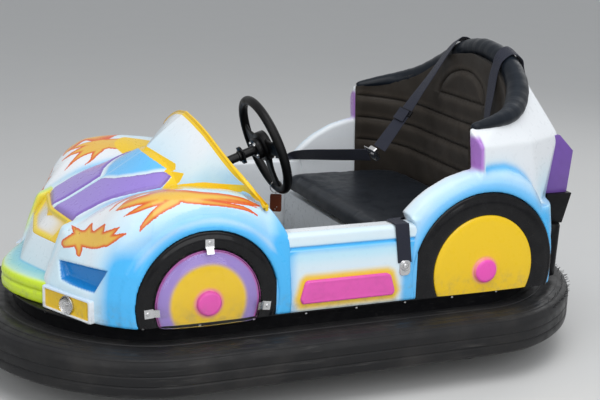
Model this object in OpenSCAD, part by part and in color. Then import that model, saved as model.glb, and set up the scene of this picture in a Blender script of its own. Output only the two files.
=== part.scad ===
// Two-seat battery bumper car for fairgrounds.
// Millimetres, +X nose, +Y the driver's left, +Z up; origin on the ground under the middle of the ring.
// Body mouldings stand on a steel pan inside a rubber ring; one steered hub-motor wheel, two rear wheels.

/* [Main sizes] */
// Half of the ring's length
half_length = 975; // [900:5:1050]
// Half of the ring's width
half_width = 578; // [540:2:620]
// Height of the seat's top above the ground
height = 955; // [900:5:1010]

/* [Running gear] */
// Radius of the drive wheel
drive_radius = 75; // [68:82]
// Radius of the rear wheels
rear_radius = 85; // [76:92]
// Radius of the axle pins
pin_radius = 8; // [6:9]
// Diameter of the four lifting holes in the pan
lift_hole = 14; // [10:18]

/* [Steering] */
// Lean of the steering axis above level
steer_lean = 20; // [16:24]
// Outer radius of the steering wheel
steer_radius = 162; // [146:172]
// Radius of the wheel's grip
grip_radius = 13; // [11:15]
// Radius of the steering column
column_radius = 14; // [12:16]

/* [Mouldings] */
// Wall of the moulded body
wall = 9; // [8:11]
// Thickness of the steel sheets
pan_sheet = 6; // [5:7]
// Depth of the pockets the sham wheels sit in
pocket = 14; // [12:16]
// Radius of the front sham tyre
front_tyre_radius = 203; // [185:210]
// Radius of the rear sham tyre
rear_tyre_radius = 238; // [220:245]
// Thickness of the belts' webbing
webbing = 2.4; // [2:0.2:3]

/* [View] */
// Part to show

/* [Hidden] */
$fa = 6;
$fs = 3;
// The tables below are drawn on a car of 1950 by 1156 by 955 and are fitted to the main sizes.
sx = half_length / 975;
sy = half_width / 578;
sz = height / 955;
end_radius = 605 * sy;
corner_radius = 403 * sy;
ring_depth = 134 * sy;
ring_bottom = 88 * sz;
ring_top = 211 * sz;
flange_top = 255 * sz;
side = 469 * sy;
tub = 416 * sy;
drive_x = 400 * sx;
rear_y = 366 * sy;
lift_x = 300 * sx;
lift_y = 280 * sy;
fork_hole_radius = drive_radius + 25;
steer_x = 64 * sx;
steer_z = 635 * sz;
end_x = half_length - end_radius;
corner_y = half_width - corner_radius;
corner_x = end_x + sqrt(pow(end_radius - corner_radius, 2) - pow(corner_y, 2));
turn = atan2(corner_y, corner_x - end_x);
rear_x = -corner_x - 19.109 * sx;
module fitted() scale([sx, sy, sz]) children();

module pair() { children(); mirror([0, 1, 0]) children(); }

// The plan outline moved inward, as a flat shape: end arcs, corner arcs and straight sides.
function arc(x, y, r, a0, a1, n) = [for (i = [0 : n]) let (a = a0 + (a1 - a0) * i / n)
  [x + r * cos(a), y + r * sin(a)]];
function quarter(inset) = concat(arc(end_x, 0, end_radius - inset, 0, turn, 12),
  arc(corner_x, corner_y, corner_radius - inset, turn + (90 - turn) / 8, 90, 7));
function flip(points, sx, sy) = [for (p = points) [sx * p[0], sy * p[1]]];
function back(points, keep) = [for (i = [len(points) - 1 : -1 : keep]) points[i]];
module outline(inset) {
  q = quarter(inset);
  polygon(concat(q, back(flip(q, -1, 1), 0), [for (i = [1 : len(q) - 1]) [-q[i][0], -q[i][1]]],
    back(flip(q, 1, -1), 1)));
}

// A closed band between two insets of the plan outline.
module band(z0, z1, outer, inner) translate([0, 0, z0]) linear_extrude(z1 - z0) difference() {
  outline(outer);
  outline(inner);
}

// [bottom, top, inset of the outer face] of the ring's ribbed courses
COURSES = [
  [ring_bottom, ring_bottom + 5, 12], [ring_bottom + 5, ring_bottom + 14, 4],
  [ring_bottom + 14, ring_top - 24, 0], [ring_top - 24, ring_top - 13, 5], [ring_top - 13, ring_top - 5, 18],
  [ring_top - 5, ring_top, 46]
];
module bumper_ring() color([0.06, 0.06, 0.065])
  for (c = COURSES) band(c[0], c[1], c[2], c[1] == ring_top ? ring_depth - 12 : ring_depth);

module chassis_pan() color([0.08, 0.08, 0.085]) {
  difference() {
    translate([0, 0, ring_bottom - pan_sheet]) linear_extrude(pan_sheet) outline(30 * sy);
    translate([drive_x, 0, 0]) cylinder(r = fork_hole_radius, h = 200);
    pair() translate([rear_x - rear_radius - 13, rear_y - 30, 0]) cube([2 * rear_radius + 26, 60, 200]);
    for (i = [-1, 1], j = [-1, 1]) translate([i * lift_x, j * lift_y, 0])
      cylinder(d = lift_hole, h = 200);
  }
  band(ring_bottom - pan_sheet / 2, flange_top - pan_sheet / 2, ring_depth + 0.5, ring_depth + 8);
  band(flange_top - pan_sheet, flange_top, 113 * sy, ring_depth + 14);
}

gear_z = steer_z - (drive_x - steer_x) * tan(steer_lean);
module steering_tower() color([0.16, 0.16, 0.17]) difference() {
  union() {
    translate([drive_x, 0, ring_bottom]) cylinder(r = fork_hole_radius + 46, h = drive_radius + 37);
    translate([drive_x, 0, ring_bottom]) cylinder(r = 34, h = gear_z - ring_bottom - 30);
    translate([drive_x - 50, -42, gear_z - 36]) cube([100, 84, 80]);
  }
  translate([drive_x, 0, 0]) cylinder(r = fork_hole_radius + 38, h = ring_bottom + drive_radius + 29);
  translate([drive_x, 0, 0]) cylinder(r = 22, h = gear_z - 14);
  translate([steer_x, 0, steer_z]) rotate([0, 90 + steer_lean, 0])
    cylinder(r = column_radius + 1.5, h = (drive_x - steer_x) / cos(steer_lean) - 24);
}

module drive_fork() color([0.3, 0.31, 0.33]) {
  translate([drive_x, 0, 2 * drive_radius + 14]) cylinder(r = fork_hole_radius + 18, h = 12);
  translate([drive_x, 0, 2 * drive_radius + 20]) cylinder(r = 20, h = gear_z - 46 - 2 * drive_radius);
  pair() translate([drive_x - 32, 33, drive_radius - 23]) cube([64, 12, drive_radius + 43]);
  translate([drive_x, 45, drive_radius]) rotate([90, 0, 0]) cylinder(r = pin_radius + 2, h = 90);
}

module drive_wheel() color([0.05, 0.05, 0.055]) translate([drive_x, 0, drive_radius]) rotate([90, 0, 0])
  difference() {
    rotate_extrude() polygon([[0, -25], [drive_radius - 6, -25], [drive_radius, -18], [drive_radius, 18],
                              [drive_radius - 6, 25], [0, 25]]);
    translate([0, 0, -30]) cylinder(r = pin_radius + 2.6, h = 60);
    for (k = [-1, 1]) translate([0, 0, k > 0 ? 19 : -30]) difference() {
      cylinder(r = drive_radius - 27, h = 11);
      cylinder(r = 26, h = 11);
    }
  }

bracket_half = rear_radius + 19;
module rear_bracket() {
  difference() {
    translate([rear_x - bracket_half, rear_y - 29, ring_bottom])
      cube([2 * bracket_half, 58, 2 * rear_radius + 16 - ring_bottom]);
    translate([rear_x - bracket_half + 6, rear_y - 24, 0])
      cube([2 * bracket_half - 12, 48, 2 * rear_radius + 10]);
  }
  for (k = [-29, 24]) translate([rear_x - 30, rear_y + k, rear_radius - 22])
    cube([60, 5, ring_bottom - rear_radius + 40]);
  translate([rear_x, rear_y + 29, rear_radius]) rotate([90, 0, 0]) cylinder(r = pin_radius, h = 58);
}
module rear_bracket_left() color([0.3, 0.31, 0.33]) rear_bracket();
module rear_bracket_right() color([0.3, 0.31, 0.33]) mirror([0, 1, 0]) rear_bracket();

module rear_wheel() translate([rear_x, rear_y, rear_radius]) rotate([90, 0, 0]) difference() {
  rotate_extrude() polygon([[0, -18], [rear_radius - 5, -18], [rear_radius, -13], [rear_radius, 13],
                            [rear_radius - 5, 18], [0, 18]]);
  translate([0, 0, -30]) cylinder(r = pin_radius + 0.6, h = 60);
  for (k = [-1, 1]) translate([0, 0, k > 0 ? 12 : -23]) difference() {
    cylinder(r = rear_radius - 29, h = 11);
    cylinder(r = 22, h = 11);
  }
}
module rear_wheel_left() color([0.05, 0.05, 0.055]) rear_wheel();
module rear_wheel_right() color([0.05, 0.05, 0.055]) mirror([0, 1, 0]) rear_wheel();

module battery_box() color([0.12, 0.12, 0.13]) translate([-530 * sx, -230 * sy, ring_bottom])
  cube([310 * sx, 460 * sy, 220 * sz]);

// Plan slice: half contour points [x, y], mirrored about the middle plane and moved inward by w.
module slice(z, half, w, dir) translate([0, 0, z]) linear_extrude(0.1)
  polygon(concat([for (p = half) [p[0] - dir * w, max(p[1] - w, 0)]],
                 [for (i = [len(half) - 1 : -1 : 0]) if (half[i][1] > 0)
                   [half[i][0] - dir * w, -max(half[i][1] - w, 0)]]));
module dots(points, dx = 0, dy = 1, dz = 0) for (p = points, m = [-1, 1])
  translate([p[0] + dx, m * p[1] * dy, p[2] + dz]) cube(0.2, center = true);

// [height, half contour from the side's back end to the nose]
FRONT = [
  [254.9, [[152, 469], [594, 469], [656, 433], [701, 383], [743, 308], [793, 206], [800, 0]]],
  [330, [[156, 470], [592, 470], [656, 435], [702, 385], [747, 305], [790, 206], [794, 0]]],
  [400, [[159, 470], [582, 470], [645, 436], [694, 388], [731, 300], [766, 206], [766, 0]]],
  [477, [[166, 468], [556, 468], [628, 434], [670, 384], [703, 300], [738, 200], [738, 0]]],
  [505, [[178, 462], [520, 462], [606, 430], [648, 380], [686, 300], [704, 200], [704, 0]]]
];
// [x, height of the crest, outer face, height its shoulder starts] of the front fenders
FENDER = [
  [168, 492, 469, 478], [189, 530, 469, 484], [215, 562, 469, 492], [242, 588, 469, 500], [300, 602, 469, 508],
  [363, 610, 469, 514], [419, 615, 469, 516], [486, 613, 469, 512], [551, 604, 458, 500], [606, 582, 436, 486],
  [649, 552, 402, 474], [679, 514, 372, 473], [696, 482, 350, 472]
];
// [x, height in the middle, height at the valley beside the fender] of the hood
HOOD = [
  [735, 480, 477], [690, 500, 490], [640, 528, 516], [600, 551, 538], [540, 586, 556], [500, 612, 564],
  [453, 640, 571], [400, 652, 573], [300, 652, 573]
];
// [x, z] steps of the channel down the middle of the nose
CHANNEL = [[724, 467], [750, 388], [766, 380], [771, 346], [780, 300], [900, 300], [900, 467]];
channel_half = 176;
// Corners of the scoop beside the channel, in its own plane: [down, outward]
SCOOP = [[-22, -102], [-36, 112], [32, 67], [26, -69]];
scoop_depth = 24;

module fender_section(s, w) {
  o = s[2];
  translate([s[0], 0, 0]) rotate([90, 0, 90]) linear_extrude(0.1) polygon([
    [225 + w, 470], [232 + w, max(s[1] - 48 - w, 471)], [min(300 + w, o - 90), max(s[1] - 9 - w, 472)],
    [min(352, o - 60), s[1] - w], [min(398, o - 34) - w, s[1] - 8 - w],
    [o - 14 - w, s[1] * 0.55 + s[3] * 0.45 - w], [o - w, s[3] - w], [o - w, 470]]);
}
module hood_section(s, w) translate([s[0], 0, 0]) rotate([90, 0, 90]) linear_extrude(0.1) polygon([
  [-245, 470], [-245, s[2] - 12 - w], [-205, s[2] - w], [-95, s[1] - 5 - w], [0, s[1] - w],
  [95, s[1] - 5 - w], [205, s[2] - w], [245, s[2] - 12 - w], [245, 470]]);
module hood_form(w) for (i = [0 : len(HOOD) - 2]) hull() {
  hood_section([HOOD[i][0] - (i == 0 ? w : 0), HOOD[i][1], HOOD[i][2]], w);
  hood_section(HOOD[i + 1], w);
}
module front_form(w) fitted() {
  difference() {
    union() {
      for (i = [0 : len(FRONT) - 2]) hull() {
        slice(FRONT[i][0] - (i == 0 && w > 0 ? 20 : 0), FRONT[i][1], w, 1);
        slice(FRONT[i + 1][0], FRONT[i + 1][1], w, 1);
      }
      hood_form(w);
    }
    translate([-w, channel_half + w, 0]) rotate([90, 0, 0]) linear_extrude(2 * (channel_half + w))
      polygon([for (c = CHANNEL) [c[0], c[1] > 460 && w > 0 ? c[1] + 16 : c[1]]]);
  }
  pair() for (i = [0 : len(FENDER) - 2]) hull() {
    fender_section(FENDER[i] + [i == 0 ? w : 0, 0, 0, 0], w);
    fender_section(FENDER[i + 1] - [i == len(FENDER) - 2 ? w : 0, 0, 0, 0], w);
  }
}
module scoops(grow) fitted() pair() translate([711, 320, 376]) rotate([0, 0, 27]) rotate([0, 90, 0])
  translate([0, 0, 11 - scoop_depth - grow]) linear_extrude(120) polygon([for (p = SCOOP) p * (1 + grow / 90)]);
module front_pockets() pair() translate([397 * sx, side - pocket, 310 * sz]) rotate([-90, 0, 0])
  cylinder(r = front_tyre_radius + 0.5, h = 60, $fn = 96);

// [x, y, z] along the windscreen's lip, from the middle plane outward
LIP = [[318, 0, 753], [314, 84, 741], [307, 168, 719], [299, 252, 690], [289, 336, 658], [276, 400, 627],
       [250, 446, 582]];
// [x, y, z] along the windscreen's foot
FOOT = [[455, 0, 642], [470, 120, 618], [478, 250, 596], [470, 330, 612], [420, 405, 600], [300, 446, 572]];
module cowl_form() fitted() hull() { dots(LIP); dots(FOOT); dots(LIP, dz = -30); dots(FOOT, dz = -60); }
module cowl_hollow() fitted() hull() {
  dots(LIP, -7 - wall, 0.975, -1 - wall);
  dots(LIP, -71 - wall, 0.975, -1 - wall);
  dots(FOOT, -5 - wall, 0.965, -1 - wall);
  dots(FOOT, -5 - wall, 0.965, -81 - wall);
  translate([180, 0, 480]) cube([1, 832, 1], center = true);
}
module cockpit_front() fitted() {
  translate([60, -416, 88]) cube([170, 832, 600]);
  hull() {
    translate([200, -416, 88]) cube([60, 832, 400]);
    translate([200, -396, 300]) cube([95, 792, 350]);
  }
}

module front_body() color([0.93, 0.95, 0.98]) difference() {
  front_form(0);
  difference() {
    front_form(wall);
    scoops(wall);
  }
  scoops(0);
  cockpit_front();
  cowl_hollow();
  front_pockets();
  translate([0, -2 * half_width, 0]) cube([2 * half_length, 4 * half_width, flange_top]);
}
module cowl() color([0.9, 0.94, 0.98]) difference() {
  cowl_form();
  cowl_hollow();
  front_form(0);
  fitted() for (m = [-1, 1]) translate([200, m > 0 ? 240 : -470, 400]) cube([40, 230, 160]);
}

module nose_lip() color([0.6, 0.9, 0.2]) difference() {
  fitted() {
    hull() {
      slice(255, [[760, 203], [793, 203], [866, 70], [880, 0]], 0, 1);
      slice(308, [[760, 203], [790, 203], [872, 70], [886, 0]], 0, 1);
    }
    hull() {
      slice(308, [[760, 203], [790, 203], [872, 70], [886, 0]], 0, 1);
      slice(342, [[760, 176], [776, 176], [782, 0]], 0, 1);
    }
  }
  front_form(0);
}

module grille_panel() color([0.95, 0.9, 0.35]) difference() {
  fitted() hull() {
    slice(390, [[740, 168], [758, 168], [758, 0]], 0, 1);
    slice(470, [[710, 168], [734, 168], [734, 0]], 0, 1);
  }
  front_form(0);
}

lamp_turn = atan2(92, 177);
module lamp_place() translate([793, 206, 0]) rotate([0, 0, lamp_turn]) children();
module lamp_frames() color([0.95, 0.96, 0.98]) difference() {
  fitted() pair() difference() {
    lamp_place() translate([-30, 5, 255]) cube([42, 190, 67]);
    lamp_place() translate([6, 16, 261]) cube([20, 168, 54]);
  }
  front_form(0);
}
lens_x = (793 + 6.3 * cos(lamp_turn) - 98 * sin(lamp_turn)) * sx;
lens_y = (206 + 6.3 * sin(lamp_turn) + 98 * cos(lamp_turn)) * sy;
lens_turn = atan2(sin(lamp_turn) * sx, cos(lamp_turn) * sy);
module lamp_lenses() color([0.9, 0.92, 0.95]) pair() translate([lens_x, lens_y, 288 * sz])
  rotate([0, 0, lens_turn]) rotate([0, 90, 0])
  rotate_extrude() polygon([[0, 0], [25, 0], [25, 10], [21, 16], [12, 20.5], [0, 22]]);

module sills() color([0.93, 0.95, 0.98]) difference() {
  fitted() pair() difference() {
    union() {
      translate([-240, 416, 255]) cube([440, 53, 229]);
      translate([-240, 408, 88]) cube([440, 8, 396]);
    }
    translate([-300, 416, 100]) cube([600, 45, 376]);
  }
  front_form(0);
  rear_form(0);
}
// [x, z] corners of the raised panel on the sill
PANEL = [[128, 292], [115, 340], [108, 346], [-140, 346], [-152, 340], [-167, 290], [-160, 278], [122, 278]];
module side_panels() color([0.93, 0.4, 0.75]) pair()
  translate([0, side + wall, 0]) rotate([90, 0, 0]) linear_extrude(wall)
    polygon([for (p = PANEL) [p[0] * sx, p[1] * sz]]);

// [height, half contour from the side's front end to the tail]
REAR = [
  [254.9, [[-205, 469], [-640, 469], [-712, 460], [-745, 415], [-775, 360], [-803, 300], [-812, 0]]],
  [420, [[-205, 469], [-640, 469], [-712, 458], [-740, 412], [-762, 360], [-783, 300], [-790, 0]]],
  [500, [[-205, 468], [-630, 468], [-690, 450], [-728, 404], [-748, 350], [-765, 300], [-772, 0]]]
];
// [x, height of the crest] of the rear fenders
ARCH = [
  [-205, 518], [-230, 545], [-260, 568], [-300, 592], [-346, 610], [-412, 626], [-479, 632], [-531, 627],
  [-585, 606], [-623, 580], [-655, 545], [-684, 500]
];
// [height, half contour] of the wings beside the seat shell, with the front tip of each
WING = [
  [480, [[-466, 428], [-690, 400], [-762, 320], [-768, 0]]],
  [688, [[-451, 422], [-650, 384], [-806, 300], [-812, 0]]]
];
WING_TIP = [-421, 402, 745];
// [x, y, z] along the seat shell's outer top edge
SHELL_TOP = [[-424, 408, 742], [-520, 396, 750], [-590, 365, 756], [-650, 318, 770], [-695, 268, 800],
             [-722, 212, 850], [-732, 140, 892], [-734, 70, 908], [-734, 0, 912]];
module arch_section(s, w) translate([s[0], 0, 0]) rotate([90, 0, 90]) linear_extrude(0.1) polygon([
  [408 + w, 480], [408 + w, s[1] - w], [430, s[1] - w], [452 - w, s[1] - 12 - w],
  [465 - w, s[1] - 34 - w], [469 - w, max(s[1] - 60, 482)], [469 - w, 480]]);
module rear_form(w) fitted() {
  for (i = [0 : len(REAR) - 2]) hull() {
    slice(REAR[i][0] - (i == 0 && w > 0 ? 20 : 0), REAR[i][1], w, -1);
    slice(REAR[i + 1][0], REAR[i + 1][1], w, -1);
  }
  pair() for (i = [0 : len(ARCH) - 2]) hull() {
    arch_section([ARCH[i][0] - (i == 0 ? w : 0), ARCH[i][1]], w);
    arch_section([ARCH[i + 1][0] + (i == len(ARCH) - 2 ? w : 0), ARCH[i + 1][1]], w);
  }
  hull() {
    slice(WING[0][0], WING[0][1], w, -1);
    slice(WING[1][0] - w, WING[1][1], w, -1);
    dots([WING_TIP - [w, w, w]]);
  }
  hull() {
    slice(WING[1][0] - w, WING[1][1], w, -1);
    dots([for (p = SHELL_TOP) [p[0] + w * 0.6, max(p[1] - w, 0), p[2] - w]]);
  }
}
// [x, y at the cushion, x, y, z at the top] of the pad's face, from the front corner round to the middle
PAD = [
  [-440, 398, -426, 392, 742], [-500, 392, -500, 380, 752], [-548, 362, -560, 346, 762],
  [-576, 300, -612, 290, 790], [-590, 220, -642, 226, 832], [-597, 120, -656, 136, 882],
  [-600, 0, -660, 0, 905]
];
PAD_OUT = [[0.1, 1], [-0.3, 0.95], [-0.72, 0.69], [-0.9, 0.43], [-0.97, 0.2], [-1, 0.05], [-1, 0]];
pad_side = 9;
pad_back = 42;
function pad_depth(i) = pad_side + (pad_back - pad_side) * min(1, i / 3);
module post(x, y, z) translate([x, y, z]) cube(0.2, center = true);
module pad_station(i, behind) {
  d = behind ? pad_depth(i) : 0;
  p = PAD[i];
  post(p[0] + PAD_OUT[i][0] * d, p[1] + PAD_OUT[i][1] * d, 385);
  post(p[2] + PAD_OUT[i][0] * d, p[3] + PAD_OUT[i][1] * d, p[4]);
}
module seat_cavity() fitted() {
  hull() for (i = [0 : len(PAD) - 1], m = [0, 1]) mirror([0, m, 0]) {
    pad_station(i, true);
    translate([0, 0, 30]) pad_station(i, true);
    if (i == 0) translate([60, 0, 60]) pad_station(i, true);
  }
  translate([-640, -408, 250]) cube([500, 816, 140]);
  translate([-450, -408, 250]) cube([350, 816, 600]);
}
module rear_pockets() pair() translate([-465 * sx, side - pocket, 324 * sz]) rotate([-90, 0, 0])
  cylinder(r = rear_tyre_radius + 0.5, h = 60, $fn = 96);

module rear_body() color([0.93, 0.95, 0.98]) difference() {
  rear_form(0);
  rear_form(wall);
  seat_cavity();
  rear_pockets();
  roll_form();
  translate([-2 * half_length, -2 * half_width, 0]) cube([2 * half_length, 4 * half_width, flange_top]);
}

module seat_riser() color([0.9, 0.92, 0.95]) difference() {
  translate([-540 * sx, -407 * sy, ring_bottom]) cube([370 * sx, 814 * sy, 292 * sz]);
  translate([-540 * sx + 8, -407 * sy + 8, 0])
    cube([370 * sx - 16, 814 * sy - 16, ring_bottom + 292 * sz - 8]);
  pair() translate([-541 * sx, rear_y - 36, 0]) cube([10, 33 * sy + 36, 2 * rear_radius + 30]);
}
module cushion_form() fitted() hull() {
  translate([-585, -386, 380]) cube([442, 772, 50]);
  translate([-435, -374, 380]) cube([286, 748, 70]);
  translate([-585, -330, 380]) cube([286, 660, 70]);
}
module seat_cushion() color([0.07, 0.07, 0.075]) cushion_form();
module seat_back() color([0.07, 0.07, 0.075]) difference() {
  fitted() for (m = [0, 1]) mirror([0, m, 0]) for (i = [0 : len(PAD) - 2]) hull() {
    pad_station(i, false);
    pad_station(i, true);
    pad_station(i + 1, false);
    pad_station(i + 1, true);
  }
  roll_form();
  cushion_form();
}
// [x, y, z, radius] along the rolled top edge
ROLL = [[-436, 400, 744, 11], [-515, 388, 757, 18], [-585, 356, 770, 26], [-640, 303, 794, 32],
        [-682, 236, 840, 35], [-700, 150, 888, 35], [-702, 75, 912, 34], [-702, 0, 921, 34]];
module roll_form() fitted() for (m = [0, 1]) mirror([0, m, 0]) for (i = [0 : len(ROLL) - 2]) hull()
  for (k = [0, 1]) translate([ROLL[i + k][0], ROLL[i + k][1], ROLL[i + k][2]])
    sphere(r = ROLL[i + k][3], $fn = 16);
module seat_roll() color([0.06, 0.06, 0.065]) roll_form();

module tail_lamps() color([0.45, 0.32, 0.66]) difference() {
  fitted() pair() hull() {
    translate([-806, 190, 686]) cube([60, 122, 1]);
    translate([-864, 200, 632]) cube([60, 106, 1]);
    translate([-852, 200, 499]) cube([90, 106, 1]);
  }
  rear_form(0);
}
module tail_bar() color([0.05, 0.05, 0.055]) difference() {
  fitted() hull() {
    translate([-862, -320, 496]) cube([90, 640, 2.7]);
    translate([-845, -306, 398]) cube([90, 612, 2]);
  }
  rear_form(0);
}
module tail_posts() color([0.05, 0.05, 0.055]) difference() {
  fitted() pair() hull() {
    translate([-808, 298, 384]) cylinder(r = 20, h = 14, $fn = 32);
    translate([-806, 296, 226]) cylinder(r = 18, h = 20, $fn = 32);
  }
  rear_form(0);
}

module sham(x, z) pair() translate([x * sx, side - pocket, z * sz]) difference() {
  rotate([-90, 0, 0]) rotate_extrude() children();
  translate([-half_width, -100, flange_top - z * sz - half_width]) cube([2 * half_width, 200, half_width]);
}
front_disc = front_tyre_radius - 53;
rear_disc = rear_tyre_radius - 70;
module front_tyres() color([0.03, 0.03, 0.035]) sham(397, 310) polygon([
  [front_disc, 0], [front_tyre_radius, 0], [front_tyre_radius, pocket - 7],
  [front_tyre_radius - 10, pocket - 1],
  [front_tyre_radius - 30, pocket + 2], [front_disc + 14, pocket + 1], [front_disc, pocket - 3]]);
module front_discs() color([0.95, 0.8, 0.1]) sham(397, 310) polygon([
  [0, 0], [front_disc - 0.5, 0], [front_disc - 0.5, pocket - 8], [112, pocket - 1], [34, pocket + 1],
  [34, pocket + 8], [28, pocket + 13], [0, pocket + 14]]);
module front_domes() color([0.8, 0.85, 0.9]) sham(397, 310) polygon([
  [front_disc - 4, pocket - 2.5], [front_disc - 0.5, pocket - 2.5], [front_disc - 2, pocket + 6],
  [front_disc - 18, pocket + 17], [92, pocket + 24], [0, pocket + 27], [0, pocket + 24.5],
  [91, pocket + 21.5], [front_disc - 20, pocket + 14.5], [front_disc - 5, pocket + 4.5]]);
module rear_tyres() color([0.03, 0.03, 0.035]) sham(-465, 324) polygon([
  [rear_disc, 0], [rear_tyre_radius, 0], [rear_tyre_radius, pocket - 7], [rear_tyre_radius - 10, pocket - 1],
  [rear_tyre_radius - 34, pocket + 2], [rear_disc + 16, pocket + 1], [rear_disc, pocket - 3]]);
module rear_discs() color([0.95, 0.8, 0.1]) sham(-465, 324) polygon([
  [0, 0], [rear_disc - 0.5, 0], [rear_disc - 0.5, pocket - 5], [150, pocket], [36, pocket + 3],
  [36, pocket + 10], [29, pocket + 16], [0, pocket + 17]]);

module steer_place() translate([steer_x, 0, steer_z]) rotate([0, -90 + steer_lean, 0]) children();
module steering_wheel() color([0.05, 0.05, 0.055]) steer_place() {
  rotate_extrude() translate([steer_radius - grip_radius, 0]) circle(grip_radius);
  difference() {
    union() {
      translate([0, 0, -18]) cylinder(r = 48, h = 30);
      for (a = [84, 180, 276]) rotate([0, 0, a]) translate([20, -21, -9]) cube([steer_radius - 33, 42, 10]);
    }
    translate([0, 0, -20]) cylinder(r = column_radius + 0.3, h = 8);
  }
}
module steering_column() color([0.06, 0.06, 0.065]) steer_place() {
  translate([0, 0, -36]) cylinder(r = 34, h = 17.7);
  translate([0, 0, 30 - (drive_x - steer_x) / cos(steer_lean)])
    cylinder(r = column_radius, h = (drive_x - steer_x) / cos(steer_lean) - 42.3);
}
tag_ring = grip_radius + 7;
module key_tag() color([0.35, 0.16, 0.1])
  translate([steer_x - sin(steer_lean) * (steer_radius - grip_radius), -26,
             steer_z - cos(steer_lean) * (steer_radius - grip_radius) - 1.6]) {
    rotate([90, 0, 0]) rotate_extrude() translate([tag_ring, 0]) circle(1.4, $fn = 16);
    translate([-5, -19, -tag_ring - 62]) cube([10, 38, 60.5]);
  }

module pedal() color([0.2, 0.2, 0.21]) translate([560 * sx, -285 * sy, ring_bottom]) {
  translate([0, -5, 0]) cube([60, 90, 8]);
  hull() {
    translate([0, 0, 8]) cube([6, 80, 2]);
    translate([36, 0, 120]) cube([6, 80, 2]);
  }
}

// Flat webbing along rows of [x, y, z] with the half width's direction in the last three columns.
module web(path) fitted() for (i = [0 : len(path) - 2]) hull() for (k = [0, 1], s = [-1, 1])
  translate([path[i + k][0] + s * path[i + k][3], path[i + k][1] + s * path[i + k][4],
             path[i + k][2] + s * path[i + k][5]]) cube(webbing, center = true);
STRAP_LEFT = [
  [-776, 150, 792, 0, 22, 0], [-748, 150, 874, 0, 22, -4], [-738, 150, 914, 0, 22, -8],
  [-702, 150, 934, 0, 22, -10], [-666, 152, 914, 0, 22, -9], [-650, 156, 880, 0, 22, 0],
  [-632, 170, 830, 0, 22, 0], [-583, 230, 700, 5, 21, 0], [-548, 286, 560, 8, 20, 0],
  [-516, 330, 462, 12, 18, 0]
];
STRAP_RIGHT = [
  [-776, -150, 792, 0, 22, 0], [-748, -150, 874, 0, 22, 4], [-738, -150, 914, 0, 22, 8],
  [-702, -150, 934, 0, 22, 10], [-666, -150, 914, 0, 22, 9], [-560, -122, 797, 0, 22, 0],
  [-470, -97, 700, 0, 21, 6], [-368, -69, 588, 0, 18, 12]
];
LAP_RIGHT = [[-340, -90, 563, 8, 0, 20], [-222, -388, 506, 14, 0, 17], [-181, -414, 486.2, 22, 0, 0],
             [-181, -470.6, 486.2, 22, 0, 0], [-196, -470.6, 372, 22, 0, 0]];
LAP_LEFT = [[-300, 330, 452.2, 16, 14, 0], [-222, 392, 484, 20, 6, 0], [-181, 414, 486.2, 22, 0, 0],
            [-181, 470.6, 486.2, 22, 0, 0], [-196, 470.6, 372, 22, 0, 0]];
module belt_left() color([0.04, 0.04, 0.045]) { web(STRAP_LEFT); web(LAP_LEFT); }
module belt_right() color([0.04, 0.04, 0.045]) { web(STRAP_RIGHT); web(LAP_RIGHT); }
module belt_buckle() color([0.8, 0.8, 0.82]) fitted() translate([-352, -75, 571]) rotate([-14, 34, 12])
  cube([15, 24, 34], center = true);
module belt_anchors() color([0.8, 0.8, 0.82]) pair() translate([-197 * sx, side + 2 + webbing, 362 * sz])
  rotate([-90, 0, 0]) cylinder(r = 15, h = 6);

bumper_ring();
chassis_pan();
steering_tower();
drive_fork();
drive_wheel();
rear_bracket_left();
rear_bracket_right();
rear_wheel_left();
rear_wheel_right();
battery_box();
front_body();
cowl();
nose_lip();
grille_panel();
lamp_frames();
lamp_lenses();
sills();
side_panels();
rear_body();
seat_riser();
seat_cushion();
seat_back();
seat_roll();
tail_lamps();
tail_bar();
tail_posts();
front_tyres();
front_discs();
front_domes();
rear_tyres();
rear_discs();
steering_wheel();
steering_column();
key_tag();
pedal();
belt_left();
belt_right();
belt_buckle();
belt_anchors();
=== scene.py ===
"""A two-seat battery bumper car for fairgrounds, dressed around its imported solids.

Sizes in the classes are millimetres on the car's own axes: x to the nose, y to the driver's left, z up from
the ground. Meshes are made in metres.
"""

from __future__ import annotations

import logging
from dataclasses import dataclass
from enum import Enum
from math import atan2, ceil, cos, dist, pi, radians, sin, sqrt
from typing import Callable, Iterable, Sequence

import bmesh
import bpy
import numpy as np
from mathutils import Matrix, Vector


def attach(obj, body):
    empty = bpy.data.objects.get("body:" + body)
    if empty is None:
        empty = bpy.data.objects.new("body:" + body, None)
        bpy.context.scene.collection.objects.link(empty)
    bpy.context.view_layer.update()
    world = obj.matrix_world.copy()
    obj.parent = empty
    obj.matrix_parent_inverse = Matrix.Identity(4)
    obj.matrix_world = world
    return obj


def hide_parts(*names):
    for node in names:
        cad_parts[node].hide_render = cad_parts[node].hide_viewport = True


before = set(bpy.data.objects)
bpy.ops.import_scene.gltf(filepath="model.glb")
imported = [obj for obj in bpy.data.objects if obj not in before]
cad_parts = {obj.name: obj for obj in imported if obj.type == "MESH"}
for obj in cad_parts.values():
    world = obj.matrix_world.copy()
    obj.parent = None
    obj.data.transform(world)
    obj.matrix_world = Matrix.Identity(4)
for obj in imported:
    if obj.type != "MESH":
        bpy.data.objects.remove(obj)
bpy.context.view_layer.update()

LOG = logging.getLogger("bumper_car")
MM = 0.001
Array = np.ndarray
Points = Sequence[Sequence[float]]
Piece = bpy.types.Object
Finish = bpy.types.Material
Socket = bpy.types.NodeSocket


class Body(Enum):
    """The bodies that pieces ride on."""

    BASE = "base"
    STEERING = "steering"
    FORK = "fork"
    DRIVE = "drive_wheel"
    REAR_LEFT = "rear_wheel_left"
    REAR_RIGHT = "rear_wheel_right"


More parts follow.
